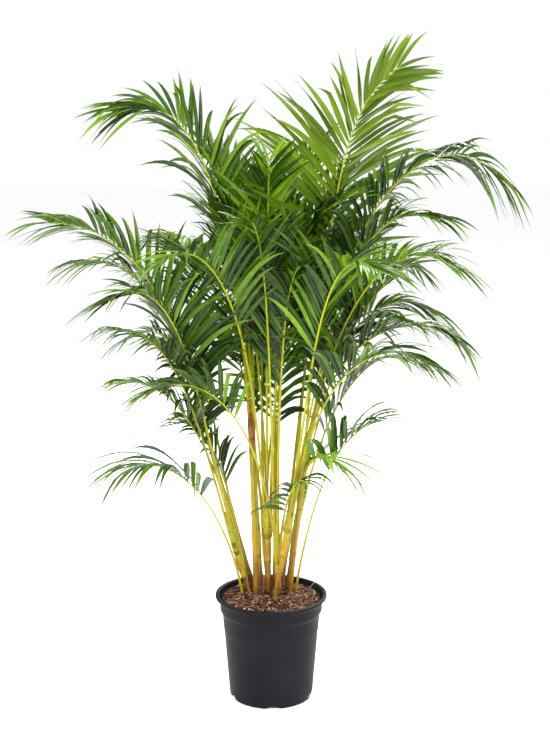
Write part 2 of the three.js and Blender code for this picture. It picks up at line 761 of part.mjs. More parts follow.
// ---------- loose bits on the soil ----------
function buildTwig(twig, grow) {
  const foot = standing(twig.foot, soilEdge);
  const head = standing(twig.head, soilEdge + twig.top);
  const lean = head.clone().sub(foot);
  const stations = [-0.35, 0.45, 1].map((share, i) => ({
    at: foot.clone().addScaledVector(lean, share),
    radius: twig.thick * (1 - 0.22 * i) + grow,
  }));
  return stem(stations, 5, new THREE.Vector3(1, 0, 0));
}

// a torn piece of leaflet lying on the soil, clear of its highest lump
function buildFallenLeaf() {
  const from = standing(fallenLeaf.from, 0);
  const to = standing(fallenLeaf.to, 0);
  const along = to.clone().sub(from).normalize();
  const edge = up.clone().cross(along);
  const rest = soilEdge + soilMound + gap;
  const rings = [
    [0.05, 0.3],
    [0.35, 1],
    [0.75, 0.7],
  ].map(([share, broad]) => {
    const at = from.clone().lerp(to, share).setZ(rest + 2 * Math.sin(Math.PI * share));
    const half = (fallenLeaf.width / 2) * broad;
    return [
      at.clone().addScaledVector(edge, -half),
      at.clone().addScaledVector(edge, half),
      at.clone().addScaledVector(up, fallenLeaf.thick),
    ];
  });
  return skin([...rings, [to.clone().setZ(rest)]]);
}

// ---------- putting the plant together ----------
const potSolid = buildPot();
remember(potSolid, 'pot');
for (const cane of canes) {
  cane.solid = buildCane(cane, 0);
  remember(buildCane(cane, gap), cane.name);
}
twigs.forEach((twig) => remember(buildTwig(twig, gap), twig.name));
canes.forEach(layOutSeats);
fronds.forEach((frond, i) => {
  frond.name = `frond${i + 1}`;
});
fronds.filter((frond) => frond.soil).forEach(raiseFromSoil);
canes.forEach(raiseFromCane);
for (const frond of fronds) {
  frond.solid = leafFrond(frond);
}
let soilSolid = buildSoil();
for (const cane of canes) soilSolid = soilSolid.subtract(buildCane(cane, gap));
for (const frond of fronds.filter((each) => each.soil)) soilSolid = soilSolid.subtract(frond.roomy);
for (const twig of twigs) soilSolid = soilSolid.subtract(buildTwig(twig, gap));

addMesh('pot', potSolid, 0x2b2c30, 0.6);
addMesh('soil', soilSolid, 0x3a241a, 0.95);
canes.forEach((cane) => addMesh(cane.name, cane.solid, 0xb9a52b, 0.5));
fronds.forEach((frond, i) => addMesh(frond.name, frond.solid, [0x3f7a1e, 0x4c8a22, 0x356b24][i % 3], 0.55));
twigs.forEach((twig) => addMesh(twig.name, buildTwig(twig, 0), twig.colour, 0.9));
addMesh('fallenLeaf', buildFallenLeaf(), 0x4f7a35, 0.6);

export default palm;
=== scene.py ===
import math
import random

import bmesh
import bpy
import numpy as np
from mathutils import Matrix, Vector, noise
from mathutils.bvhtree import BVHTree


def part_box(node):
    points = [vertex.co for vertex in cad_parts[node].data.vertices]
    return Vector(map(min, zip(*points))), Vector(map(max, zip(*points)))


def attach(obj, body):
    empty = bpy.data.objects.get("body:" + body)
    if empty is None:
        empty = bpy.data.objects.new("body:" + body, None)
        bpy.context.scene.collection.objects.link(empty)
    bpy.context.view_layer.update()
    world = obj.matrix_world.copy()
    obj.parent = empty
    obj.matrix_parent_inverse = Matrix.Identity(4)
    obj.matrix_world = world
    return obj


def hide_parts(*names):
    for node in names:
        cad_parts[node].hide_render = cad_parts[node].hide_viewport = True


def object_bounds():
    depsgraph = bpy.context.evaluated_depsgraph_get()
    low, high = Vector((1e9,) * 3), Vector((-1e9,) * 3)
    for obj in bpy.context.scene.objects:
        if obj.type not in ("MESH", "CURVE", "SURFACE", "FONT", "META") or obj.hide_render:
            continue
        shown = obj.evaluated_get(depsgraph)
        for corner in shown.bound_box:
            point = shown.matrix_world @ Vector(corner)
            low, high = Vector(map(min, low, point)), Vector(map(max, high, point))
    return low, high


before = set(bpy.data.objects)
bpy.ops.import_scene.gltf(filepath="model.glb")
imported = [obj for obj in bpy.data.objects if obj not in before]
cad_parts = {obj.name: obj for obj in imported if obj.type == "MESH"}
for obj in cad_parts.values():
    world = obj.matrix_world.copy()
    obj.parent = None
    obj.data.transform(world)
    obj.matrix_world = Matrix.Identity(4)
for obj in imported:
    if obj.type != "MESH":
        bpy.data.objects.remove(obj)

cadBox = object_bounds()
print("frame loaded:", len(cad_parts), "nodes")

up = np.array([0.0, 0.0, 1.0])
boxLow, boxHigh = (np.array(corner) for corner in cadBox)


# ---- small helpers ----
def unit(v):
    return v / max(np.linalg.norm(v), 1e-12)


def squareTo(along, v):
    return unit(v - along * np.dot(v, along))


def smoothStep(low, high, x):
    t = min(max((x - low) / (high - low), 0.0), 1.0)
    return t * t * (3 - 2 * t)


def makePiece(name, verts, faces, materials, faceMaterial=None, smooth=True):
    mesh = bpy.data.meshes.new(name)
    mesh.from_pydata([tuple(map(float, v)) for v in verts], [], faces)
    for material in materials:
        mesh.materials.append(material)
    if faceMaterial is not None:
        mesh.polygons.foreach_set("material_index", faceMaterial)
    mesh.polygons.foreach_set("use_smooth", [smooth] * len(mesh.polygons))
    piece = bpy.data.objects.new(name, mesh)
    bpy.context.scene.collection.objects.link(piece)
    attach(piece, "root")
    return piece


def addNumbers(piece, name, values):
    # one number for each corner of the mesh, for the material to read
    layer = piece.data.attributes.new(name, "FLOAT", "POINT")
    layer.data.foreach_set("value", np.asarray(values, dtype=np.float32))


def addVectors(piece, name, values):
    layer = piece.data.attributes.new(name, "FLOAT_VECTOR", "POINT")
    layer.data.foreach_set("vector", np.asarray(values, dtype=np.float32).ravel())


def tube(centres, radii, sides, across, flatten=1.0):
    # a closed tube round a line of centres: its corners, its faces, and how far along it each corner is
    verts, faces, shares = [], [], []
    count = len(centres)
    side = across
    for i in range(count):
        along = unit(centres[min(i + 1, count - 1)] - centres[max(i - 1, 0)])
        side = squareTo(along, side)
        other = np.cross(along, side)
        for k in range(sides):
            angle = 2 * math.pi * k / sides
            verts.append(
                centres[i]
                + side * radii[i] * math.cos(angle)
                + other * radii[i] * flatten * math.sin(angle)
            )
            shares.append(i / (count - 1))
    for i in range(count - 1):
        for k in range(sides):
            n = (k + 1) % sides
            faces.append((i * sides + k, i * sides + n, (i + 1) * sides + n, (i + 1) * sides + k))
    for i, turn in ((0, -1), (count - 1, 1)):
        verts.append(centres[i])
        shares.append(i / (count - 1))
        hub = len(verts) - 1
        for k in range(sides):
            a, b = i * sides + k, i * sides + (k + 1) % sides
            faces.append((a, b, hub) if turn > 0 else (b, a, hub))
    return verts, faces, shares


# ---- materials ----
def newMaterial(name):
    material = bpy.data.materials.new(name)
    material.use_nodes = True
    tree = material.node_tree
    tree.nodes.clear()
    output = tree.nodes.new("ShaderNodeOutputMaterial")
    shader = tree.nodes.new("ShaderNodeBsdfPrincipled")
    tree.links.new(shader.outputs[0], output.inputs[0])
    return material, tree, shader


def addNode(tree, kind, **settings):
    node = tree.nodes.new("ShaderNode" + kind)
    for key, value in settings.items():
        setattr(node, key, value)
    return node


def readNumber(tree, name):
    return addNode(tree, "Attribute", attribute_name=name).outputs["Fac"]


def noiseAt(tree, vector, scale, detail=3.0, roughness=0.55):
    node = addNode(tree, "TexNoise")
    node.inputs["Scale"].default_value = scale
    node.inputs["Detail"].default_value = detail
    node.inputs["Roughness"].default_value = roughness
    tree.links.new(vector, node.inputs["Vector"])
    return node.outputs["Fac"]


def stretched(tree, vector, scale):
    # the same place, squeezed along one direction so that a grain laid on it runs long
    node = addNode(tree, "Mapping", vector_type="POINT")
    node.inputs["Scale"].default_value = scale
    tree.links.new(vector, node.inputs["Vector"])
    return node.outputs[0]


def setShine(shader, roughness, specular):
    if roughness is not None:
        shader.inputs["Roughness"].default_value = roughness
    shader.inputs["Specular IOR Level"].default_value = specular


def setGlow(shader, weight, radius):
    # light let a little way into the skin of a stem
    shader.inputs["Subsurface Weight"].default_value = weight
    shader.inputs["Subsurface Radius"].default_value = radius


def rampOf(tree, value, stops):
    node = addNode(tree, "ValToRGB")
    ramp = node.color_ramp
    while len(ramp.elements) < len(stops):
        ramp.elements.new(0.5)
    for element, (place, colour) in zip(ramp.elements, stops):
        element.position = place
        element.color = (*colour, 1)
    tree.links.new(value, node.inputs["Fac"])
    return node.outputs["Color"]


def mathOf(tree, operation, a, b=None):
    node = addNode(tree, "Math", operation=operation)
    for socket, value in zip(node.inputs, (a, b)):
        if value is None:
            continue
        if isinstance(value, (int, float)):
            socket.default_value = value
        else:
            tree.links.new(value, socket)
    return node.outputs[0]


def swayed(tree, value, grain, amount, level=0.5):
    # a value moved up and down by a grain that lies round a level
    sway = mathOf(tree, "MULTIPLY", mathOf(tree, "SUBTRACT", grain, level), amount)
    return mathOf(tree, "ADD", value, sway)


def mixOf(tree, factor, a, b, kind="MIX"):
    node = addNode(tree, "MixRGB", blend_type=kind)
    for socket, value in zip(node.inputs, (factor, a, b)):
        if isinstance(value, (int, float)):
            socket.default_value = value
        elif isinstance(value, tuple):
            socket.default_value = (*value, 1)
        else:
            tree.links.new(value, socket)
    return node.outputs["Color"]


def addBump(tree, shader, height, strength, distance):
    bump = addNode(tree, "Bump")
    bump.inputs["Strength"].default_value = strength
    bump.inputs["Distance"].default_value = distance
    tree.links.new(height, bump.inputs["Height"])
    tree.links.new(bump.outputs["Normal"], shader.inputs["Normal"])
    return bump.outputs["Normal"]


leafLooks = {
    # shade, middle and light of the blade, how much light comes through, and its colour from behind
    # a darker copy of the leaf colours: painted shade for the heart and front fronds
    "leafPaintedShade": {
        "shade": (0.003, 0.012, 0.001),
        "middle": (0.032, 0.095, 0.003),
        "light": (0.215, 0.400, 0.008),
        "through": 0.27,
        "behind": (0.34, 0.56, 0.004),
    },
    "leafMid": {
        "shade": (0.005, 0.018, 0.002),
        "middle": (0.042, 0.108, 0.005),
        "light": (0.220, 0.375, 0.012),
        "through": 0.28,
        "behind": (0.36, 0.58, 0.006),
    },
    # a brighter, yellower copy of the leaf colours: painted backlight for the tallest frond
    "leafPaintedBacklight": {
        "shade": (0.060, 0.120, 0.001),
        "middle": (0.120, 0.215, 0.002),
        "light": (0.220, 0.330, 0.003),
        "through": 0.42,
        "behind": (0.36, 0.50, 0.002),
    },
    "leafFresh": {
        "shade": (0.100, 0.200, 0.010),
        "middle": (0.200, 0.350, 0.018),
        "light": (0.320, 0.490, 0.035),
        "through": 0.45,
        "behind": (0.50, 0.72, 0.03),
    },
}


def makeLeafMaterial(name, look):
    material, tree, shader = newMaterial(name)
    place = addNode(tree, "Attribute", attribute_name="leafPlace").outputs["Vector"]
    parts = addNode(tree, "SeparateXYZ")
    tree.links.new(place, parts.inputs[0])
    # the tone read here is random for each leaflet, with painted shade added deep inside the plant
    tone = readNumber(tree, "leafToneAndShade")
    streaks = noiseAt(tree, stretched(tree, place, (1.0, 0.05, 1.0)), 0.9, 3.0)
    blotches = noiseAt(tree, place, 0.045, 2.0)
    mixed = mathOf(tree, "MULTIPLY", streaks, 0.34)
    mixed = mathOf(tree, "ADD", mixed, mathOf(tree, "MULTIPLY", blotches, 0.3))
    mixed = mathOf(tree, "ADD", mixed, mathOf(tree, "MULTIPLY", tone, 0.62))
    blade = rampOf(tree, mixed, [(0.3, look["shade"]), (0.62, look["middle"]), (1.0, look["light"])])
    # the paler midrib, and the yellowed or dried end of some leaflets
    midrib = mathOf(tree, "ABSOLUTE", parts.outputs["X"])
    midrib = mathOf(tree, "LESS_THAN", midrib, 0.55)
    midrib = mathOf(tree, "MULTIPLY", midrib, 0.35)
    colour = mixOf(tree, midrib, blade, look["light"])
    dry = readNumber(tree, "leafDry")
    dryColour = rampOf(tree, streaks, [(0.35, (0.30, 0.20, 0.05)), (0.7, (0.16, 0.085, 0.03))])
    colour = mixOf(tree, dry, colour, dryColour)
    tree.links.new(colour, shader.inputs["Base Color"])
    setShine(shader, 0.24, 0.36)
    veins = addNode(tree, "TexWave", wave_type="BANDS", bands_direction="X", wave_profile="SIN")
    veins.inputs["Scale"].default_value = 0.24
    veins.inputs["Distortion"].default_value = 0.0
    tree.links.new(place, veins.inputs["Vector"])
    normal = addBump(tree, shader, veins.outputs["Fac"], 0.35, 0.00025)
    lit = addNode(tree, "BsdfTranslucent")
    behind = mixOf(tree, dry, mixOf(tree, 0.75, look["behind"], colour, "OVERLAY"), dryColour)
    tree.links.new(behind, lit.inputs["Color"])
    tree.links.new(normal, lit.inputs["Normal"])
    both = addNode(tree, "MixShader")
    both.inputs[0].default_value = look["through"]
    tree.links.new(shader.outputs[0], both.inputs[1])
    tree.links.new(lit.outputs[0], both.inputs[2])
    tree.links.new(both.outputs[0], tree.nodes["Material Output"].inputs[0])
    return material


def makeStalkMaterial():
    # golden at the foot, through yellow-green, to green along the blade
    material, tree, shader = newMaterial("stalkSkin")
    share = readNumber(tree, "stalkShare")
    coords = addNode(tree, "TexCoord").outputs["Object"]
    fibres = noiseAt(tree, stretched(tree, coords, (1.0, 1.0, 0.12)), 420.0, 3.0)
    patches = noiseAt(tree, coords, 22.0, 3.0)
    place = swayed(tree, share, patches, 0.28)
    skin = rampOf(
        tree,
        place,
        [
            (0.0, (0.38, 0.27, 0.003)),
            (0.2, (0.44, 0.42, 0.003)),
            (0.45, (0.42, 0.46, 0.004)),
            (0.75, (0.40, 0.46, 0.004)),
            (1.0, (0.26, 0.38, 0.006)),
        ],
    )
    shade = rampOf(tree, fibres, [(0.3, (0.62, 0.62, 0.55)), (0.7, (1.0, 1.0, 1.0))])
    tree.links.new(mixOf(tree, 0.7, skin, shade, "MULTIPLY"), shader.inputs["Base Color"])
    setShine(shader, 0.4, 0.3)
    setGlow(shader, 0.12, (0.002, 0.002, 0.0005))
    addBump(tree, shader, fibres, 0.25, 0.0003)
    return material


def makeCaneMaterial():
    # waxy golden internodes with brown leaf scars; the number caneScar is 1 on a scar
    material, tree, shader = newMaterial("caneSkin")
    scar = readNumber(tree, "caneScar")
    height = readNumber(tree, "caneHeight")
    coords = addNode(tree, "TexCoord").outputs["Object"]
    fibres = noiseAt(tree, stretched(tree, coords, (1.0, 1.0, 0.08)), 380.0, 4.0)
    patches = noiseAt(tree, coords, 30.0, 4.0)
    place = swayed(tree, height, patches, 0.7)
    skin = rampOf(
        tree,
        place,
        [
            (0.0, (0.20, 0.090, 0.009)),
            (0.25, (0.40, 0.225, 0.004)),
            (0.6, (0.38, 0.280, 0.004)),
            (1.0, (0.22, 0.260, 0.005)),
        ],
    )
    shade = rampOf(tree, fibres, [(0.3, (0.66, 0.58, 0.5)), (0.66, (1.0, 1.0, 1.0))])
    skin = mixOf(tree, 0.8, skin, shade, "MULTIPLY")
    rough = swayed(tree, scar, fibres, 0.9, 0.55)
    bark = rampOf(tree, fibres, [(0.3, (0.10, 0.045, 0.018)), (0.7, (0.30, 0.15, 0.05))])
    cover = rampOf(tree, rough, [(0.35, (0.0, 0.0, 0.0)), (0.6, (1.0, 1.0, 1.0))])
    tree.links.new(mixOf(tree, cover, skin, bark), shader.inputs["Base Color"])
    setShine(shader, 0.40, 0.3)
    setGlow(shader, 0.08, (0.003, 0.002, 0.0005))
    addBump(tree, shader, fibres, 0.35, 0.0005)
    return material


def makeSheathSkin():
    # fresh sheaths are yellow-green and smooth; old ones turn orange, then brown and fibrous
    material, tree, shader = newMaterial("sheathSkin")
    share = readNumber(tree, "sheathShare")
    brown = readNumber(tree, "sheathBrown")
    coords = addNode(tree, "TexCoord").outputs["Object"]
    fibres = noiseAt(tree, stretched(tree, coords, (1.0, 1.0, 0.06)), 360.0, 4.0)
    patches = noiseAt(tree, coords, 34.0, 3.0)
    freshStops = [(0.1, (0.39, 0.300, 0.008)), (0.55, (0.32, 0.33, 0.008)), (1.0, (0.25, 0.32, 0.008))]
    agedStops = [(0.3, (0.14, 0.05, 0.012)), (0.5, (0.33, 0.125, 0.02)), (0.7, (0.42, 0.21, 0.03))]
    fresh = rampOf(tree, share, freshStops)
    aged = rampOf(tree, fibres, agedStops)
    cover = swayed(tree, brown, patches, 1.6)
    cover = rampOf(tree, cover, [(0.35, (0.0, 0.0, 0.0)), (0.75, (1.0, 1.0, 1.0))])
    shade = rampOf(tree, fibres, [(0.3, (0.7, 0.7, 0.6)), (0.7, (1.0, 1.0, 1.0))])
    colour = mixOf(tree, 0.7, mixOf(tree, cover, fresh, aged), shade, "MULTIPLY")
    tree.links.new(colour, shader.inputs["Base Color"])
    setShine(shader, 0.45, 0.3)
    setGlow(shader, 0.08, (0.003, 0.002, 0.0005))
    addBump(tree, shader, fibres, 0.35, 0.0005)
    return material


def makeFibreMaterial(name, dark, light, scale=300.0):
    material, tree, shader = newMaterial(name)
    coords = addNode(tree, "TexCoord").outputs["Object"]
    fibres = noiseAt(tree, stretched(tree, coords, (1.0, 1.0, 0.06)), scale, 5.0, 0.65)
    tree.links.new(rampOf(tree, fibres, [(0.3, dark), (0.68, light)]), shader.inputs["Base Color"])
    shader.inputs["Roughness"].default_value = 0.85
    addBump(tree, shader, fibres, 0.7, 0.0008)
    return material


def makeSoilMaterial():
    material, tree, shader = newMaterial("pottingSoil")
    coords = addNode(tree, "TexCoord").outputs["Object"]
    coarse = noiseAt(tree, coords, 90.0, 6.0, 0.7)
    fine = noiseAt(tree, coords, 600.0, 4.0, 0.7)
    soil = rampOf(
        tree,
        coarse,
        [(0.3, (0.006, 0.003, 0.002)), (0.5, (0.026, 0.011, 0.006)), (0.72, (0.09, 0.036, 0.018))],
    )
    grain = rampOf(tree, fine, [(0.3, (0.4, 0.4, 0.4)), (0.7, (1.3, 1.2, 1.1))])
    tree.links.new(mixOf(tree, 0.8, soil, grain, "MULTIPLY"), shader.inputs["Base Color"])
    setShine(shader, 0.92, 0.15)
    addBump(tree, shader, mathOf(tree, "ADD", coarse, fine), 0.9, 0.003)
    return material


def makeChipMaterial():
    # bark chips, each with its own chipTone
    material, tree, shader = newMaterial("barkChips")
    tone = readNumber(tree, "chipTone")
    coords = addNode(tree, "TexCoord").outputs["Object"]
    grain = noiseAt(tree, coords, 420.0, 4.0, 0.65)
    place = swayed(tree, tone, grain, 0.4)
    bark = rampOf(
        tree,
        place,
        [
            (0.0, (0.008, 0.004, 0.003)),
            (0.35, (0.042, 0.015, 0.008)),
            (0.65, (0.150, 0.056, 0.022)),
            (0.85, (0.30, 0.135, 0.055)),
            (1.0, (0.50, 0.31, 0.16)),
        ],
    )
    tree.links.new(bark, shader.inputs["Base Color"])
    setShine(shader, 0.8, 0.2)
    addBump(tree, shader, grain, 0.6, 0.0008)
    return material


def makePerliteMaterial():
    material, tree, shader = newMaterial("perlite")
    coords = addNode(tree, "TexCoord").outputs["Object"]
    grain = noiseAt(tree, coords, 900.0, 3.0, 0.6)
    white = rampOf(tree, grain, [(0.3, (0.42, 0.38, 0.33)), (0.6, (0.80, 0.77, 0.72))])
    tree.links.new(white, shader.inputs["Base Color"])
    shader.inputs["Roughness"].default_value = 0.9
    addBump(tree, shader, grain, 0.5, 0.0006)
    return material


def makePotMaterial():
    # matte moulded plastic, a little dusty, with faint turning marks
    material, tree, shader = newMaterial("potPlastic")
    coords = addNode(tree, "TexCoord").outputs["Object"]
    dust = noiseAt(tree, coords, 14.0, 5.0, 0.62)
    speck = noiseAt(tree, coords, 800.0, 2.0, 0.5)
    marks = noiseAt(tree, stretched(tree, coords, (0.02, 0.02, 1.0)), 260.0, 2.0, 0.5)
    plastic = rampOf(tree, dust, [(0.3, (0.0055, 0.0055, 0.0078)), (0.75, (0.0100, 0.0099, 0.0132))])
    tree.links.new(plastic, shader.inputs["Base Color"])
    rough = rampOf(tree, dust, [(0.3, (0.46, 0.46, 0.46)), (0.75, (0.62, 0.62, 0.62))])
    tree.links.new(rough, shader.inputs["Roughness"])
    setShine(shader, None, 0.08)
    relief = mathOf(tree, "ADD", speck, mathOf(tree, "MULTIPLY", marks, 1.5))
    addBump(tree, shader, relief, 0.12, 0.0006)
    return material


leafMaterials = {name: makeLeafMaterial(name, look) for name, look in leafLooks.items()}
stalkMaterial = makeStalkMaterial()
caneMaterial = makeCaneMaterial()
sheathSkin = makeSheathSkin()
sheathMaterial = makeFibreMaterial("drySheathFibre", (0.085, 0.032, 0.012), (0.40, 0.20, 0.075))
strawMaterial = makeFibreMaterial("strawFibre", (0.22, 0.15, 0.09), (0.50, 0.38, 0.24))
soilMaterial = makeSoilMaterial()
chipMaterial = makeChipMaterial()
perliteMaterial = makePerliteMaterial()
potMaterial = makePotMaterial()
print("materials made")


# ---- reading a frond's stalk line and leaflets off its CAD solid ----
def readCorners(name):
    # corners without doubles, and for each the corners it shares an edge with
    bm = bmesh.new()
    bm.from_mesh(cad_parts[name].data)
    bmesh.ops.remove_doubles(bm, verts=bm.verts, dist=2e-5)
    bm.verts.ensure_lookup_table()
    bm.verts.index_update()
    corners = np.array([v.co[:] for v in bm.verts])
    near = [set() for _ in bm.verts]
    for edge in bm.edges:
        a, b = (v.index for v in edge.verts)
        near[a].add(b)
        near[b].add(a)
    bm.free()
    return corners, near


def crossSection(corners, ring):
    # middle, half width and top direction of a three-cornered section; its far corners are the edges
    trio = sorted(ring)
    pairs = [(trio[i], trio[j], trio[3 - i - j]) for i, j in ((0, 1), (0, 2), (1, 2))]
    a, b, ridge = max(pairs, key=lambda p: np.linalg.norm(corners[p[0]] - corners[p[1]]))
    middle = (corners[a] + corners[b]) / 2
    half = np.linalg.norm(corners[a] - corners[b]) / 2
    return middle, half, unit(corners[ridge] - middle)


ringShares = (0.24, 0.64, 1.0)  # where along a CAD leaflet its two sections and its tip stand


def findLeaflets(corners, near):
    leaflets, used = [], set()
    for tip, around in enumerate(near):
        if len(around) != 3:
            continue
        if not all(b in near[a] for a in around for b in around if a != b):
            continue
        if min(np.linalg.norm(corners[tip] - corners[a]) for a in around) < 0.007:
            continue
        outer = set(around)
        inner = set().union(*(near[a] for a in outer)) - outer - {tip}
        if len(inner) != 3:
            continue
        roots = set().union(*(near[a] for a in inner)) - inner - outer
        middle1, half1, top1 = crossSection(corners, inner)
        middle2, _, top2 = crossSection(corners, outer)
        # the leaflet bends as a parabola, so three of its points give all of it
        powers = np.array([[1, s, s * s] for s in ringShares])
        curve = np.linalg.solve(powers, np.array([middle1, middle2, corners[tip]]))
        leaflets.append({"curve": curve, "half": half1, "tops": (top1, top2), "roots": roots})
        used |= inner | outer | {tip}
    return leaflets, used


def distancesFrom(start, corners, near, used):
    far = {start: 0.0}
    waiting = [(0.0, start)]
    while waiting:
        waiting.sort(reverse=True)
        reached, at = waiting.pop()
        if reached > far[at]:
            continue
        for other in near[at]:
            if other in used:
                continue
            there = reached + float(np.linalg.norm(corners[at] - corners[other]))
            if there < far.get(other, 1e9) - 1e-9:
                far[other] = there
                waiting.append((there, other))
    return far


def stalkLine(corners, far, leaflets):
    # sections of the bare stalk and roots of the leaflets, smoothed into one line by a fitted curve
    ordered = sorted((d, i) for i, d in far.items())
    firstRoot = min(leaf["place"] for leaf in leaflets)
    groups, last = [], -1.0
    for d, i in ordered:
        if d > firstRoot - 0.008:
            break
        if not groups or d - last > 0.014:
            groups.append([])
        groups[-1].append((d, i))
        last = d
    places, points, weights = [], [], []
    for group in groups:
        places.append(np.mean([d for d, i in group]))
        points.append(np.mean([corners[i] for d, i in group], axis=0))
        weights.append(4.0)
    weights[0] = 14.0
    for leaf in leaflets:
        places.append(leaf["place"])
        points.append(leaf["curve"][0])
        weights.append(1.0)
    length = ordered[-1][0]
    places.append(length)
    points.append(np.mean([corners[i] for d, i in ordered if d > length - 0.004], axis=0))
    weights.append(6.0)
    start = places[0]
    degree = min(5, max(3, len(set(np.round(places, 2))) - 2))
    along = (np.array(places) - start) / (length - start)
    fit = [np.polyfit(along, np.array(points)[:, k], degree, w=np.sqrt(weights)) for k in range(3)]
    return fit, start, length


def pointOn(fit, share):
    return np.array([np.polyval(f, share) for f in fit])


def alongAt(fit, share):
    return unit(np.array([np.polyval(np.polyder(f), share) for f in fit]))


def readFrond(name):
    corners, near = readCorners(name)
    leaflets, used = findLeaflets(corners, near)
    rest = [i for i in range(len(corners)) if i not in used]
    start = min(rest, key=lambda i: corners[i][2])
    far = distancesFrom(start, corners, near, used)
    for leaf in leaflets:
        reached = [far[i] for i in leaf["roots"] if i in far]
        leaf["place"] = float(np.mean(reached)) if reached else 0.0
    leaflets = [leaf for leaf in leaflets if leaf["place"] > 0]
    fit, start, length = stalkLine(corners, far, leaflets)
    for leaf in leaflets:
        share = (leaf["place"] - start) / (length - start)
        # slide along the fitted line to the point nearest the root
        trials = np.linspace(share - 0.06, min(share + 0.06, 1.0), 61)
        gaps = [np.linalg.norm(pointOn(fit, t) - leaf["curve"][0]) for t in trials]
        leaf["share"] = float(trials[int(np.argmin(gaps))])
        along = alongAt(fit, leaf["share"])
        turn = np.cross(along, leaf["curve"][1])
        leaf["side"] = 1 if np.dot(turn, leaf["tops"][0]) > 0 else -1
    return fit, length - start, leaflets


# ---- fronds ----
frondShape = {
    # metres unless said otherwise
    "footRadius": 0.0046,  # at the crown, where the stalk clasps the cane
    "stalkRadius": 0.0034,
    "tipRadius": 0.0011,
    "flatten": 0.86,  # how much thinner the stalk is front to back
    "stations": 36,
    "sides": 10,
    "bladeThickness": 0.00045,
}

frondGroups = {
    # fronds: their numbers; look: the blade's colours; spacing: between leaflets along the rachis;
    # width: as a share of the CAD leaflet's; fold: rise of the midrib as a share of the half width;
    # droop: how far the ends hang, as a share of the leaflet's length
    "tallest": {
        "fronds": [1],
        # the brighter copy of the leaf colours, with painted backlight
        "look": "leafPaintedBacklight",
        "spacing": 0.0150,
        "width": 0.72,
        "fold": 0.30,
        "droop": 0.13,
    },
    "young": {
        "fronds": [7],
        "look": "leafFresh",
        "spacing": 0.012,
        "width": 0.66,
        "fold": 0.34,
        "droop": 0.05,
    },
    "outline": {
        "fronds": [2, 3, 4, 5, 6, 9, 10, 11, 12, 13, 14],
        "look": "leafMid",
        "spacing": 0.0135,
        "width": 0.60,
        "fold": 0.30,
        "droop": 0.23,
    },
    "low": {
        "fronds": [8, 15],
        "look": "leafMid",
        "spacing": 0.019,
        "width": 0.70,
        "fold": 0.28,
        "droop": 0.20,
    },
    "heart": {
        "fronds": [16, 17, 18, 19, 20, 21, 22, 23],
        # the darker copy of the leaf colours, with painted shade
        "look": "leafPaintedShade",
        "spacing": 0.0160,
        "width": 0.64,
        "fold": 0.26,
        "droop": 0.10,
    },
    "front": {
        "fronds": [24, 25, 26, 27, 28, 29, 30, 31],
        "look": "leafPaintedShade",
        "spacing": 0.0155,
        "width": 0.60,
        "fold": 0.28,
        # the darker copy of the leaf colours, with painted shade
        "droop": 0.14,
    },
    "back": {
        "fronds": [32, 33, 34, 35, 36, 37, 38, 39, 40, 41],
        "look": "leafMid",
        "spacing": 0.0155,
        "width": 0.62,
        "fold": 0.28,
        "droop": 0.16,
    },
}

leafletHabit = {
    # how far single leaflets stray from the even fan; shares of the leaflet's length, or radians
    "swing": 0.085,
    "lift": 0.075,
    "roll": 0.34,
    "twist": 0.7,
    "ripple": 0.006,
    "kinkedShare": 0.09,  # leaflets with a bent end
    "kinkDrop": 0.55,
    "dryShare": 0.08,  # leaflets with a dry end
}

# places along a leaflet, and its half width at each
bladeStations = (0.0, 0.04, 0.11, 0.22, 0.36, 0.5, 0.63, 0.75, 0.86, 0.94)
bladeWidths = (0.20, 0.42, 0.74, 0.97, 1.0, 0.90, 0.73, 0.52, 0.29, 0.12)


def blend(a, b, t):
    # a leaflet part of the way between two neighbours on the same side
    return {
        "curve": a["curve"] * (1 - t) + b["curve"] * t,
        "half": a["half"] * (1 - t) + b["half"] * t,
        "tops": tuple(unit(p * (1 - t) + q * t) for p, q in zip(a["tops"], b["tops"])),
        "share": a["share"] * (1 - t) + b["share"] * t,
        "side": a["side"],
    }


def fillBetween(leaflets, length, spacing, rng):
    rows = []
    for side in (1, -1):
        row = [leaf for leaf in leaflets if leaf["side"] == side]
        row.sort(key=lambda leaf: leaf["share"])
        for a, b in zip(row, row[1:]):
            rows.append(a)
            # leaflets stand closer towards the end of the rachis
            room = spacing * (1.0 - 0.25 * b["share"] ** 2)
            count = max(1, round((b["share"] - a["share"]) * length / room))
            for k in range(1, count):
                rows.append(blend(a, b, (k + rng.uniform(-0.18, 0.18)) / count))
        rows.extend(row[-1:])
    return rows


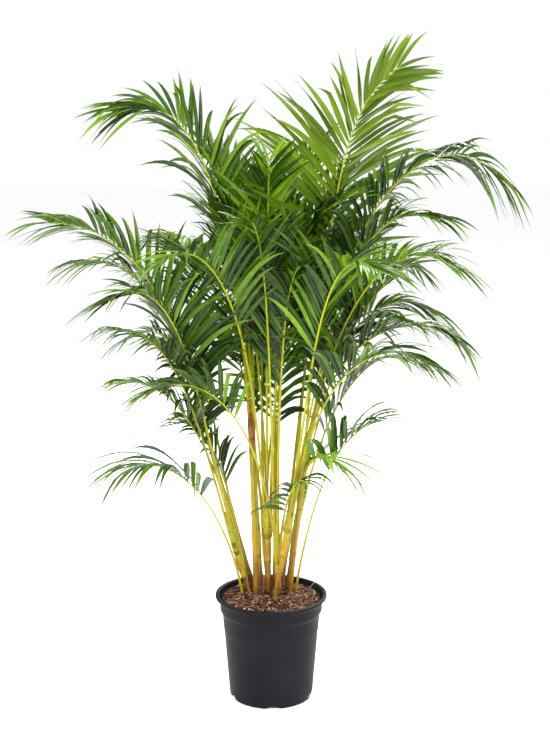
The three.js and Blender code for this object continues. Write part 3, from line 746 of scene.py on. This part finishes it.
def addBlade(leaf, fit, group, rng, blade):
    # one folded, tapering leaflet, added to the lists in blade
    curve = leaf["curve"].copy()
    root = pointOn(fit, min(leaf["share"], 1.0))
    slip = root - curve[0]
    reach = np.linalg.norm(curve[1] + curve[2])
    habit = leafletHabit
    swing = rng.gauss(0, habit["swing"])
    across = unit(np.cross(curve[1], leaf["tops"][0]))
    curve[1] = curve[1] * rng.uniform(0.92, 1.16) + across * reach * swing
    curve[1] += leaf["tops"][0] * reach * rng.gauss(0, habit["lift"])
    # a leaflet that would leave the plant's own outline is drawn back to its old length
    for _ in range(4):
        end = curve[0] + curve[1] + curve[2]
        if np.all(end > boxLow) and np.all(end < boxHigh):
            break
        curve[1] = curve[1] * 0.94
    droop = group["droop"] * rng.uniform(0.4, 1.5)
    kinked = rng.random() < habit["kinkedShare"]
    kinkAt = rng.uniform(0.45, 0.7)
    roll = rng.gauss(0, habit["roll"])
    twist = rng.gauss(0, habit["twist"])
    wave = rng.uniform(0, 6.28)
    half = leaf["half"] * group["width"] * rng.uniform(0.88, 1.08)
    # leaflets deep inside the plant get painted shade: darker towards the plant's middle and lower down
    middle = curve[0] + curve[1] * 0.5 + curve[2] * 0.25
    inside = 1 - smoothStep(0.06, 0.34, math.hypot(middle[0], middle[1]))
    inside *= 1 - smoothStep(0.98, 1.15, middle[2])
    tone = min(max(rng.gauss(0.50, 0.30), -0.1), 1.1) - 0.26 * inside
    dryEnd = rng.random() < habit["dryShare"]
    ident = rng.uniform(0, 50)

    def at(s):
        p = curve[0] + curve[1] * s + curve[2] * s * s + slip * (1 - s) ** 2
        p = p - up * reach * droop * max(0.0, s - 0.35) ** 1.7 * 1.6
        if kinked and s > kinkAt:
            p = p - up * reach * (s - kinkAt) * habit["kinkDrop"]
        return p + across * reach * habit["ripple"] * math.sin(wave + 5 * s)

    base = len(blade["verts"])
    for s, wide in zip(bladeStations, bladeWidths):
        here = at(s)
        along = unit(at(min(s + 0.03, 1.0)) - at(max(s - 0.03, 0.0)))
        top = squareTo(along, leaf["tops"][0] * (1 - s) + leaf["tops"][1] * s)
        side = np.cross(along, top)
        turn = roll * s + twist * s * s
        edge = side * math.cos(turn) + top * math.sin(turn)
        top = top * math.cos(turn) - side * math.sin(turn)
        reachOut = max(half * wide, 0.0005)
        rise = reachOut * group["fold"] * (1.1 - 0.5 * s)
        thick = frondShape["bladeThickness"] * (1.6 if s < 0.05 else 1.0)
        for sign, height in ((1, 0.0), (0, rise + thick / 2), (-1, 0.0), (0, rise - thick / 2)):
            blade["verts"].append(here + edge * sign * reachOut + top * height)
            blade["place"].append((sign * reachOut * 1000, s * reach * 1000, ident))
            blade["tone"].append(tone + 0.16 * s)
            blade["dry"].append(smoothStep(0.86, 0.97, s) if dryEnd else 0.0)
    for i in range(len(bladeStations) - 1):
        for k in range(4):
            n = (k + 1) % 4
            a, b = base + 4 * i, base + 4 * i + 4
            blade["faces"].append((a + k, a + n, b + n, b + k))
    blade["faces"].append((base + 3, base + 2, base + 1, base))
    last = base + 4 * (len(bladeStations) - 1)
    blade["verts"].append(at(1.0))
    blade["place"].append((0, reach * 1000, ident))
    blade["tone"].append(tone + 0.16)
    blade["dry"].append(1.0 if dryEnd else 0.0)
    for k in range(4):
        blade["faces"].append((last + k, last + (k + 1) % 4, last + 4))
    blade["lanes"].extend([0, 1, 2, 3] * len(bladeStations) + [4])


def creaseEdges(piece, lanes):
    # the blade's two edges and its midrib are crisp, and everything along them is smooth
    mesh = piece.data
    ends = np.zeros(len(mesh.edges) * 2, dtype=np.int32)
    mesh.edges.foreach_get("vertices", ends)
    ends = ends.reshape(-1, 2)
    lanes = np.asarray(lanes)
    a, b = lanes[ends[:, 0]], lanes[ends[:, 1]]
    crisp = ((a == b) | (a == 4) | (b == 4)) & (a >= 0) & (b >= 0)
    layer = mesh.attributes.get("sharp_edge") or mesh.attributes.new("sharp_edge", "BOOLEAN", "EDGE")
    layer.data.foreach_set("value", crisp)


def buildFrond(number, group):
    rng = random.Random(1000 + number)
    name = f"frond{number}"
    fit, length, leaflets = readFrond(name)
    shape = frondShape
    shares = np.linspace(0, 1, shape["stations"])
    centres = [pointOn(fit, t) for t in shares]
    radii = []
    for t in shares:
        clasp = math.exp(-t * length / 0.05)
        plain = shape["stalkRadius"] + (shape["tipRadius"] - shape["stalkRadius"]) * t**1.25
        radii.append(plain + (shape["footRadius"] - shape["stalkRadius"]) * clasp)
    across = np.cross(alongAt(fit, 0.5), up)
    verts, faces, stalkShares = tube(centres, radii, shape["sides"], across, shape["flatten"])
    stalkCount, stalkFaces = len(verts), len(faces)
    blade = {
        "verts": list(verts),
        "faces": list(faces),
        "place": [(0.0, 0.0, 0.0)] * stalkCount,
        "tone": [0.0] * stalkCount,
        "dry": [0.0] * stalkCount,
        "lanes": [-1] * stalkCount,
    }
    rows = fillBetween(leaflets, length, group["spacing"], rng)
    for leaf in rows:
        addBlade(leaf, fit, group, rng, blade)
    slots = [0] * stalkFaces + [1] * (len(blade["faces"]) - stalkFaces)
    materials = [stalkMaterial, leafMaterials[group["look"]]]
    piece = makePiece(name + "Leaf", blade["verts"], blade["faces"], materials, slots)
    creaseEdges(piece, blade["lanes"])
    frondTone = rng.uniform(-0.14, 0.14)
    addVectors(piece, "leafPlace", blade["place"])
    addNumbers(piece, "leafToneAndShade", np.asarray(blade["tone"]) + frondTone)
    addNumbers(piece, "leafDry", blade["dry"])
    rise = np.array([v[2] for v in blade["verts"]])
    shareAll = np.ones(len(blade["verts"]))
    shareAll[:stalkCount] = stalkShares
    addNumbers(piece, "stalkShare", shareAll * np.clip((rise - 0.2) / 0.55, 0.2, 1.0))
    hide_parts(name)
    petioleLines[number] = np.array(centres)
    return len(rows)


petioleLines = {}  # each frond's centre line, for the sheaths
leafletCount = 0
for group in frondGroups.values():
    for number in group["fronds"]:
        leafletCount += buildFrond(number, group)
print("fronds built:", leafletCount, "leaflets")


# ---- canes ----
caneShape = {
    "sides": 20,
    "step": 0.003,
    "nodeSwell": 0.05,  # share of the radius that a leaf scar stands out
    "nodeWidth": 0.004,
    "scarWidth": 0.0016,
    "stepOut": 1.06,  # how much wider a section is than the one below it where a scar stands
    "buried": 0.07,  # no scars on this much of the foot
    "yellowing": 0.32,  # height above the soil over which the skin turns from gold to green
}


def readSections(name, apart=0.0028):
    # middles and radii of a swept stem's sections, from the foot up
    corners, _ = readCorners(name)
    order = np.argsort(corners[:, 2])
    groups = []
    for i in order:
        if not groups or corners[i][2] - groups[-1][-1][2] > apart:
            groups.append([])
        groups[-1].append(corners[i])
    middles = [np.mean(g, axis=0) for g in groups]
    radii = [float(np.mean([np.linalg.norm(p - m) for p in g])) for g, m in zip(groups, middles)]
    return middles, radii


def buildCane(number):
    name = f"cane{number}"
    rng = random.Random(300 + number)
    middles, radii = readSections(name)
    heights = np.array([m[2] for m in middles])
    low, high = heights[0], heights[-1]
    fit = [np.polyfit(heights, [m[k] for m in middles], 3) for k in range(2)]
    smooth = np.poly1d(np.polyfit(heights[:-2], radii[:-2], 1))
    crown = max(radii[-2:])
    # the scars stand where the CAD stem steps out
    shape = caneShape
    nodes = []
    for i in range(1, len(radii) - 2):
        if radii[i] > radii[i - 1] * shape["stepOut"] and heights[i] > low + shape["buried"]:
            nodes.append(heights[i])
    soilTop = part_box("soil")[1].z
    nodes.append(soilTop + rng.uniform(0.012, 0.03))
    count = int((high - low) / shape["step"])
    centres, sizes, scars = [], [], []
    for i in range(count + 1):
        z = low + (high - low) * i / count
        near = min([abs(z - n) for n in nodes] or [1.0])
        r = smooth(z) * (1 + shape["nodeSwell"] * math.exp(-((near / shape["nodeWidth"]) ** 2)))
        toCrown = smoothStep(high - 0.075, high - 0.02, z)
        r = r * (1 - toCrown) + crown * toCrown
        r *= 1 - 0.42 * smoothStep(high - 0.012, high, z) ** 2
        centres.append(np.array([np.polyval(fit[0], z), np.polyval(fit[1], z), z]))
        sizes.append(r)
        scars.append(math.exp(-((near / shape["scarWidth"]) ** 2)))
    verts, faces, shares = tube(centres, sizes, shape["sides"], np.array([1.0, 0.0, 0.0]))
    piece = makePiece(name + "Stem", verts, faces, [caneMaterial])
    scarOf = [scars[min(int(round(s * count)), count)] for s in shares]
    addNumbers(piece, "caneScar", scarOf)
    above = [(v[2] - soilTop) / shape["yellowing"] for v in verts]
    addNumbers(piece, "caneHeight", above)
    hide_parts(name)
    return middles, crown


caneLines = {number: buildCane(number) for number in range(1, 13)}
print("canes built")


# ---- leaf sheaths, which hold the feet of a cane's petioles together ----
sheathShape = {
    "below": 0.055,  # how far down the cane a sheath starts
    "above": 0.095,  # how far above the crown it closes on the petioles
    "sides": 18,
    "levels": 26,
    "browned": {1: 1.0, 3: 0.35, 6: 0.6, 9: 0.5},  # cane: how dry its sheath has gone
}


def petiolesOf(number):
    crown = caneLines[number][0][-1]
    return [line for line in petioleLines.values() if np.linalg.norm(line[0] - crown) < 0.02]


def buildSheath(number):
    shape = sheathShape
    middles, crown = caneLines[number]
    lines = petiolesOf(number)
    top = middles[-1]
    axis = unit(middles[-1] - middles[-3])
    centres, sizes = [], []
    for j in range(shape["levels"] + 1):
        t = j / shape["levels"]
        height = -shape["below"] + (shape["below"] + shape["above"]) * t
        if height <= 0:
            z = top[2] + axis[2] * height
            levels = [m[2] for m in middles]
            centre = np.array([np.interp(z, levels, [m[k] for m in middles]) for k in range(3)])
            wide = crown * (0.90 + 0.12 * smoothStep(-0.05, 0.0, height))
        else:
            marks = [line[np.argmin(np.abs(line[:, 2] - top[2] - height))] for line in lines]
            centre = np.mean(marks, axis=0)
            spread = max(np.linalg.norm(m - centre) for m in marks) + 0.0030
            wide = min(max(spread, 0.0045), crown * 1.08)
            wide *= 1 - 0.55 * smoothStep(0.045, shape["above"], height)
        centres.append(centre)
        sizes.append(wide * (1 + 0.015 * math.sin(9 * t + number)))
    verts, faces, shares = tube(centres, sizes, shape["sides"], np.array([1.0, 0.2, 0.0]))
    piece = makePiece(f"sheath{number}", verts, faces, [sheathSkin])
    browned = shape["browned"].get(number, 0.1)
    addNumbers(piece, "sheathBrown", [browned * (0.6 + 0.4 * math.sin(2.2 * s)) for s in shares])
    addNumbers(piece, "sheathShare", shares)


for number in caneLines:
    buildSheath(number)
print("sheaths built")


# ---- soil ----
soilShape = {
    "rings": 56,
    "spokes": 150,
    "roughness": 0.0022,
    "depth": 0.03,  # how far down the visible filling goes
    "chips": 1500,
    "crumbs": 900,
    "fibres": 170,
    "perlite": 110,
}
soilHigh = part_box("soil")[1]
soilRadius = soilHigh.x
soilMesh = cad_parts["soil"].data
soilCorners = [v.co.copy() for v in soilMesh.vertices]
soilTree = BVHTree.FromPolygons(soilCorners, [tuple(p.vertices) for p in soilMesh.polygons])
soilMean = soilHigh.z - 0.004  # height of the soil where the sockets of the stems are open


def soilHeight(x, y):
    hit = soilTree.ray_cast(Vector((x, y, soilHigh.z + 0.05)), Vector((0, 0, -1)))[0]
    if hit is None or hit.z < soilMean - 0.012:
        return soilMean
    return hit.z


def lumpsAt(x, y):
    # lumps of three sizes, from about 18 mm down to 3 mm
    place = Vector((x, y, 0.0))
    total = 0.0
    for scale, share in ((55.0, 1.0), (140.0, 0.7), (330.0, 0.45)):
        total += share * noise.noise(place * scale)
    return total


def buildSoil():
    shape = soilShape
    verts, faces = [(0.0, 0.0, soilHeight(0, 0))], []
    rings, spokes = shape["rings"], shape["spokes"]
    for j in range(1, rings + 1):
        r = soilRadius * j / rings
        for k in range(spokes):
            angle = 2 * math.pi * k / spokes
            x, y = r * math.cos(angle), r * math.sin(angle)
            inward = min(r, soilRadius * 0.985) / max(r, 1e-9)
            z = soilHeight(x * inward, y * inward) + shape["roughness"] * lumpsAt(x, y)
            verts.append((x, y, z))
    for k in range(spokes):
        faces.append((0, 1 + k, 1 + (k + 1) % spokes))
    for j in range(rings - 1):
        for k in range(spokes):
            n = (k + 1) % spokes
            a, b = 1 + j * spokes, 1 + (j + 1) * spokes
            faces.append((a + k, b + k, b + n, a + n))
    # the side and the underside
    rim = 1 + (rings - 1) * spokes
    below = len(verts)
    for k in range(spokes):
        angle = 2 * math.pi * k / spokes
        r = soilRadius * 0.97
        verts.append((r * math.cos(angle), r * math.sin(angle), soilMean - shape["depth"]))
    hub = len(verts)
    verts.append((0.0, 0.0, soilMean - shape["depth"]))
    for k in range(spokes):
        n = (k + 1) % spokes
        faces.append((rim + k, below + k, below + n, rim + n))
        faces.append((below + k, hub, below + n))
    piece = makePiece("soilFilling", verts, faces, [soilMaterial])
    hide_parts("soil")


def placeOnSoil(rng, spread=0.97):
    r = soilRadius * spread * math.sqrt(rng.random())
    angle = rng.uniform(0, 2 * math.pi)
    x, y = r * math.cos(angle), r * math.sin(angle)
    return np.array([x, y, soilHeight(x, y) + soilShape["roughness"] * lumpsAt(x, y)])


def turned(rng, tilt):
    # three directions of a piece lying at a random turn, tipped by up to tilt
    turn = rng.uniform(0, 2 * math.pi)
    lean = np.array([rng.uniform(-tilt, tilt), rng.uniform(-tilt, tilt), 1.0])
    high = unit(lean)
    along = squareTo(high, np.array([math.cos(turn), math.sin(turn), 0.0]))
    return along, np.cross(high, along), high


def buildChips():
    rng = random.Random(11)
    shape = soilShape
    verts, faces, tones = [], [], []
    for i in range(shape["chips"] + shape["crumbs"]):
        big = i < shape["chips"]
        at = placeOnSoil(rng, 0.96 if big else 0.985)
        along, wide, high = turned(rng, 0.7 if big else 1.2)
        length = rng.uniform(0.0018, 0.0052) if big else rng.uniform(0.0006, 0.0018)
        if big and rng.random() < 0.12:
            length *= 1.5
        breadth = length * rng.uniform(0.35, 0.75)
        deep = length * rng.uniform(0.18, 0.4)
        tone = min(max(rng.gauss(0.42, 0.22), 0.0), 1.0)
        base = len(verts)
        # an uneven six-sided splinter, narrower on top
        for level, share in ((-0.6, 1.0), (0.8, 0.7)):
            for k in range(6):
                angle = 2 * math.pi * k / 6
                jitter = rng.uniform(0.75, 1.2) * share
                verts.append(
                    at
                    + along * length * math.cos(angle) * jitter
                    + wide * breadth * math.sin(angle) * jitter
                    + high * deep * level * rng.uniform(0.8, 1.2)
                )
                tones.append(tone)
        for k in range(6):
            n = (k + 1) % 6
            faces.append((base + k, base + n, base + 6 + n, base + 6 + k))
        faces.append(tuple(base + 5 - k for k in range(6)))
        faces.append(tuple(base + 6 + k for k in range(6)))
    piece = makePiece("soilChips", verts, faces, [chipMaterial], smooth=False)
    addNumbers(piece, "chipTone", tones)


def buildFibres():
    rng = random.Random(23)
    verts, faces = [], []
    for _ in range(soilShape["fibres"]):
        at = placeOnSoil(rng, 0.9)
        along, wide, high = turned(rng, 0.35)
        length = rng.uniform(0.006, 0.022)
        bow = rng.uniform(-0.3, 0.3)
        centres = []
        for k in range(6):
            t = k / 5 - 0.5
            rise = 0.0012 + 0.0012 * math.cos(3 * t)
            centres.append(at + along * length * t + wide * length * bow * (t * t - 0.1) + high * rise)
        part, partFaces, _ = tube(centres, [0.0003] * 6, 4, wide)
        base = len(verts)
        verts.extend(part)
        faces.extend(tuple(base + c for c in face) for face in partFaces)
    piece = makePiece("soilFibres", verts, faces, [strawMaterial])


def buildPerlite():
    rng = random.Random(5)
    verts, faces = [], []
    for _ in range(soilShape["perlite"]):
        at = placeOnSoil(rng, 0.95)
        size = rng.uniform(0.0006, 0.0015)
        bm = bmesh.new()
        bmesh.ops.create_icosphere(bm, subdivisions=1, radius=size)
        base = len(verts)
        for v in bm.verts:
            verts.append(at + np.array(v.co[:]) * rng.uniform(0.75, 1.2) + up * size * 0.4)
        faces.extend(tuple(base + v.index for v in f.verts) for f in bm.faces)
        bm.free()
    piece = makePiece("soilPerlite", verts, faces, [perliteMaterial])


buildSoil()
buildChips()
buildFibres()
buildPerlite()
print("soil built")


# ---- dry bits and the fallen piece of leaflet ----
def buildTwig(name, ragged):
    middles, radii = readSections(name)
    a, b = middles[0], middles[-1]
    centres, sizes = [], []
    count = 14
    bow = squareTo(unit(b - a), np.array([0.3, 1.0, 0.0]))
    for i in range(count + 1):
        t = i / count
        centres.append(a + (b - a) * t + bow * 0.0012 * math.sin(7 * t) * ragged)
        sizes.append((radii[0] + (radii[-1] - radii[0]) * t) * (1 + 0.2 * math.sin(9 * t) * ragged))
    material = sheathMaterial if ragged else strawMaterial
    verts, faces, _ = tube(centres, sizes, 9, np.array([1.0, 0.0, 0.0]), 0.6)
    piece = makePiece(name + "End", verts, faces, [material])
    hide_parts(name)


buildTwig("drySheath1", 1)
buildTwig("drySheath2", 1)
buildTwig("straw", 0)


def buildFallenLeaf():
    low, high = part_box("fallenLeaf")
    middle = (low + high) / 2
    verts, faces, place = [], [], []
    steps, half = 12, 0.0042
    for i in range(steps + 1):
        t = i / steps
        y = high.y + (low.y - high.y) * t
        x = middle.x + 0.004 * math.sin(2.4 * t)
        wide = half * math.sin(math.pi * min(0.15 + 0.85 * t, 1.0)) ** 0.6 + 0.0002
        z = low.z + 0.0008 + 0.0022 * math.sin(math.pi * t)
        for sign, rise in ((1, 0.0), (0, 0.0009), (-1, 0.0), (0, 0.0005)):
            verts.append((x + sign * wide, y, z + rise))
            place.append((sign * wide * 1000, t * 40, 3.0))
    for i in range(steps):
        for k in range(4):
            n = (k + 1) % 4
            a, b = 4 * i, 4 * i + 4
            faces.append((a + k, b + k, b + n, a + n))
    faces.append((0, 1, 2, 3))
    last = 4 * steps
    faces.append((last + 3, last + 2, last + 1, last))
    # the fallen piece borrows the brighter copy of the leaf colours, with painted backlight
    piece = makePiece("fallenLeafPiece", verts, faces, [leafMaterials["leafPaintedBacklight"]])
    addVectors(piece, "leafPlace", place)
    addNumbers(piece, "leafToneAndShade", [0.5] * len(verts))
    addNumbers(piece, "leafDry", [0.12] * len(verts))
    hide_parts("fallenLeaf")


buildFallenLeaf()
print("loose bits built")


# ---- pot ----
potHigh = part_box("pot")[1]
potShape = {
    "height": potHigh.z,
    "rimRadius": potHigh.x,
    "lipWidth": 0.0085,
    "lipDepth": 0.006,
    "collarRadius": potHigh.x - 0.010,
    "collarDepth": 0.038,
    "collarStep": 0.0054,
    "bandDrop": 0.040,
    "baseRadius": 0.090,
    "footHeight": 0.009,
    "footWidth": 0.008,
    "footInset": 0.004,
    "wall": 0.002,
    "notches": 5,
    "notchWidth": 0.030,
    "notchTop": 0.014,
    "drains": 5,
    "drainRadius": 0.005,
    "drainCircle": 0.052,
    "steps": 160,  # round the pot
    "turn": -87,  # compass angle of the first notch
}


def potProfile(shape):
    # radius and height, from the middle of the underside round the foot, up outside and down inside
    top, rim, collar = shape["height"], shape["rimRadius"], shape["collarRadius"]
    low = top - shape["collarDepth"]
    body = collar - shape["collarStep"]
    base, foot = shape["baseRadius"], shape["footHeight"]
    band = low - shape["bandDrop"]
    lip = top - shape["lipDepth"]
    inner = base - shape["footInset"] - shape["footWidth"]

    def wall(z):
        return base + (body - base) * (z - foot) / (low - foot)

    outside = [
        (0.0, foot),
        (inner * 0.5, foot),
        (inner - 0.001, foot),
        (inner, foot - 0.001),
        (inner, 0.0006),
        (inner + 0.0006, 0.0),
        (base - 0.0045, 0.0),
        (base - 0.0034, 0.0005),
        (base - 0.0018, 0.0024),
        (base - 0.0013, foot - 0.0008),
        (base - 0.0004, foot + 0.0006),
        (wall(foot + 0.002), foot + 0.002),
    ]
    for k in range(1, 10):
        z = foot + 0.002 + (band - 0.0016 - foot - 0.002) * k / 9
        outside.append((wall(z), z))
    outside += [
        (wall(band) + 0.0001, band - 0.0010),
        (wall(band) + 0.0006, band - 0.0003),
        (wall(band) + 0.0006, band + 0.0010),
        (wall(low - 0.02) + 0.0006, low - 0.02),
        (wall(low - 0.0046) + 0.0006, low - 0.0046),
        (wall(low - 0.003) + 0.0009, low - 0.0030),
        (wall(low) + 0.0022, low - 0.0008),
        (collar - 0.0022, low + 0.0016),
        (collar - 0.0006, low + 0.0030),
        (collar - 0.0001, low + 0.0046),
        (collar, (low + lip) / 2),
        (collar, lip - 0.0110),
        (collar + 0.0008, lip - 0.0075),
        (collar + 0.0030, lip - 0.0046),
        (collar + 0.0062, lip - 0.0026),
        (rim - 0.0018, lip - 0.0012),
        (rim - 0.0004, lip - 0.0002),
        (rim, lip + 0.0012),
        (rim, top - 0.0018),
        (rim - 0.0005, top - 0.0006),
        (rim - 0.0018, top),
        (rim - shape["lipWidth"] + 0.0016, top - 0.0003),
        (rim - shape["lipWidth"] + 0.0004, top - 0.0010),
        (rim - shape["lipWidth"], top - 0.0024),
    ]
    inside = collar - shape["wall"]
    outside += [
        (inside + 0.0006, lip - 0.0030),
        (inside, lip - 0.0060),
        (inside, low + 0.003),
        (wall(low - 0.003) - shape["wall"], low - 0.003),
        (wall(foot + 0.0075) - shape["wall"], foot + 0.0075),
        (wall(foot) - 0.007, foot + 0.0025),
        (0.0, foot + 0.0025),
    ]
    return outside


def angleApart(a, b):
    return abs((a - b + math.pi) % (2 * math.pi) - math.pi)


def potAngles(shape):
    # even steps, with extra ones at the notches' corners
    steps = shape["steps"]
    footRadius = shape["baseRadius"] - shape["footInset"]
    even = [2 * math.pi * k / steps for k in range(steps)]
    lifted = []
    for i in range(shape["notches"]):
        middle = math.radians(shape["turn"] + 360 / shape["notches"] * i) % (2 * math.pi)
        wide = shape["notchWidth"] / 2 / footRadius
        narrow = shape["notchTop"] / 2 / footRadius
        even = [a for a in even if angleApart(a, middle) > wide + 0.012]
        for offset, rise in ((-wide, 0), (-narrow, 1), (0, 1), (narrow, 1), (wide, 0)):
            lifted.append(((middle + offset) % (2 * math.pi), rise))
    return sorted([(a, 0) for a in even] + lifted)


def cutDrains(piece, shape):
    bm = bmesh.new()
    radius, circle = shape["drainRadius"], shape["drainCircle"]
    for i in range(shape["drains"]):
        # each drain stands midway between two notches
        angle = math.radians(shape["turn"] + 180 / shape["notches"] + 360 / shape["drains"] * i)
        made = bmesh.ops.create_cone(
            bm, cap_ends=True, segments=24, radius1=radius, radius2=radius, depth=0.02
        )
        shift = Vector((circle * math.cos(angle), circle * math.sin(angle), shape["footHeight"]))
        bmesh.ops.translate(bm, verts=made["verts"], vec=shift)
    mesh = bpy.data.meshes.new("drainCutter")
    bm.to_mesh(mesh)
    bm.free()
    cutter = bpy.data.objects.new("drainCutter", mesh)
    bpy.context.scene.collection.objects.link(cutter)
    cut = piece.modifiers.new("drains", "BOOLEAN")
    cut.operation = "DIFFERENCE"
    cut.solver = "EXACT"
    cut.object = cutter
    bpy.context.view_layer.update()
    shown = piece.evaluated_get(bpy.context.evaluated_depsgraph_get())
    done = bpy.data.meshes.new_from_object(shown)
    piece.modifiers.clear()
    piece.data = done
    bpy.data.objects.remove(cutter)
    bpy.data.meshes.remove(mesh)


def buildPot():
    shape = potShape
    profile, angles = potProfile(shape), potAngles(shape)
    count = len(angles)
    verts, faces, starts = [], [], []
    for radius, height in profile:
        starts.append(len(verts))
        if radius == 0.0:
            verts.append((0.0, 0.0, height))
            continue
        for angle, lifted in angles:
            z = height
            if lifted and height < shape["footHeight"] - 0.0012:
                z = shape["footHeight"] - 0.0010 + height * 0.1
            verts.append((radius * math.cos(angle), radius * math.sin(angle), z))
    for j in range(len(profile) - 1):
        a, b = starts[j], starts[j + 1]
        for k in range(count):
            n = (k + 1) % count
            if profile[j][0] == 0.0:
                faces.append((a, b + n, b + k))
            elif profile[j + 1][0] == 0.0:
                faces.append((a + k, a + n, b))
            else:
                faces.append((a + k, a + n, b + n, b + k))
    piece = makePiece("potMoulding", verts, faces, [potMaterial])
    cutDrains(piece, shape)
    mesh = piece.data
    mesh.polygons.foreach_set("use_smooth", [True] * len(mesh.polygons))
    mesh.set_sharp_from_angle(angle=math.radians(38))
    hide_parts("pot")


buildPot()
print("pot built")


# ---- the plain stage: floor, lamps, room light and camera ----
stageLights = {
    # where each lamp stands, what it points at, its width in metres and its power in watts
    "keyLight": {"at": (-1.7, -2.4, 3.1), "target": (0, 0, 0.9), "size": 0.8, "power": 165},
    "fillLight": {"at": (2.4, -1.8, 2.3), "target": (0, 0, 0.8), "size": 1.0, "power": 70},
    "backLight": {"at": (0.9, 2.4, 2.8), "target": (0, 0, 1.0), "size": 1.0, "power": 160},
}


def makeFloor():
    bm = bmesh.new()
    bmesh.ops.create_circle(bm, cap_ends=True, segments=96, radius=14.0)
    mesh = bpy.data.meshes.new("floor")
    bm.to_mesh(mesh)
    bm.free()
    floor = bpy.data.objects.new("floor", mesh)
    bpy.context.scene.collection.objects.link(floor)
    material, tree, shader = newMaterial("paleFloor")
    coords = addNode(tree, "TexCoord").outputs["Object"]
    paper = noiseAt(tree, coords, 3.0, 2.0)
    tone = rampOf(tree, paper, [(0.3, (0.955, 0.955, 0.955)), (0.7, (0.97, 0.97, 0.97))])
    tree.links.new(tone, shader.inputs["Base Color"])
    shader.inputs["Roughness"].default_value = 0.9
    mesh.materials.append(material)


def makeLight(name, at, target, size, power):
    data = bpy.data.lights.new(name, "AREA")
    data.shape = "DISK"
    data.size = size
    data.energy = power
    lamp = bpy.data.objects.new(name, data)
    lamp.location = at
    lamp.rotation_mode = "QUATERNION"
    lamp.rotation_quaternion = (Vector(target) - Vector(at)).to_track_quat("-Z", "Y")
    bpy.context.scene.collection.objects.link(lamp)


def makeWorld(strength):
    world = bpy.data.worlds.new("studio")
    world.use_nodes = True
    background = world.node_tree.nodes["Background"]
    background.inputs["Color"].default_value = (1.0, 1.0, 1.0, 1.0)
    background.inputs["Strength"].default_value = strength
    bpy.context.scene.world = world


def makeCamera():
    data = bpy.data.cameras.new("camera")
    data.sensor_width = 36.0
    data.lens = 72.37
    camera = bpy.data.objects.new("camera", data)
    camera.location = (0.0084, -3.0, 1.3325)
    camera.rotation_euler = (math.radians(78.658), 0.0, 0.0)
    bpy.context.scene.collection.objects.link(camera)
    bpy.context.scene.camera = camera


makeFloor()
makeWorld(1.0)
for name, lamp in stageLights.items():
    makeLight(name, **lamp)
makeCamera()
bpy.context.scene.view_settings.view_transform = "Standard"
print("stage set")

print("CAD box", [list(map(lambda n: round(n, 4), c)) for c in cadBox])
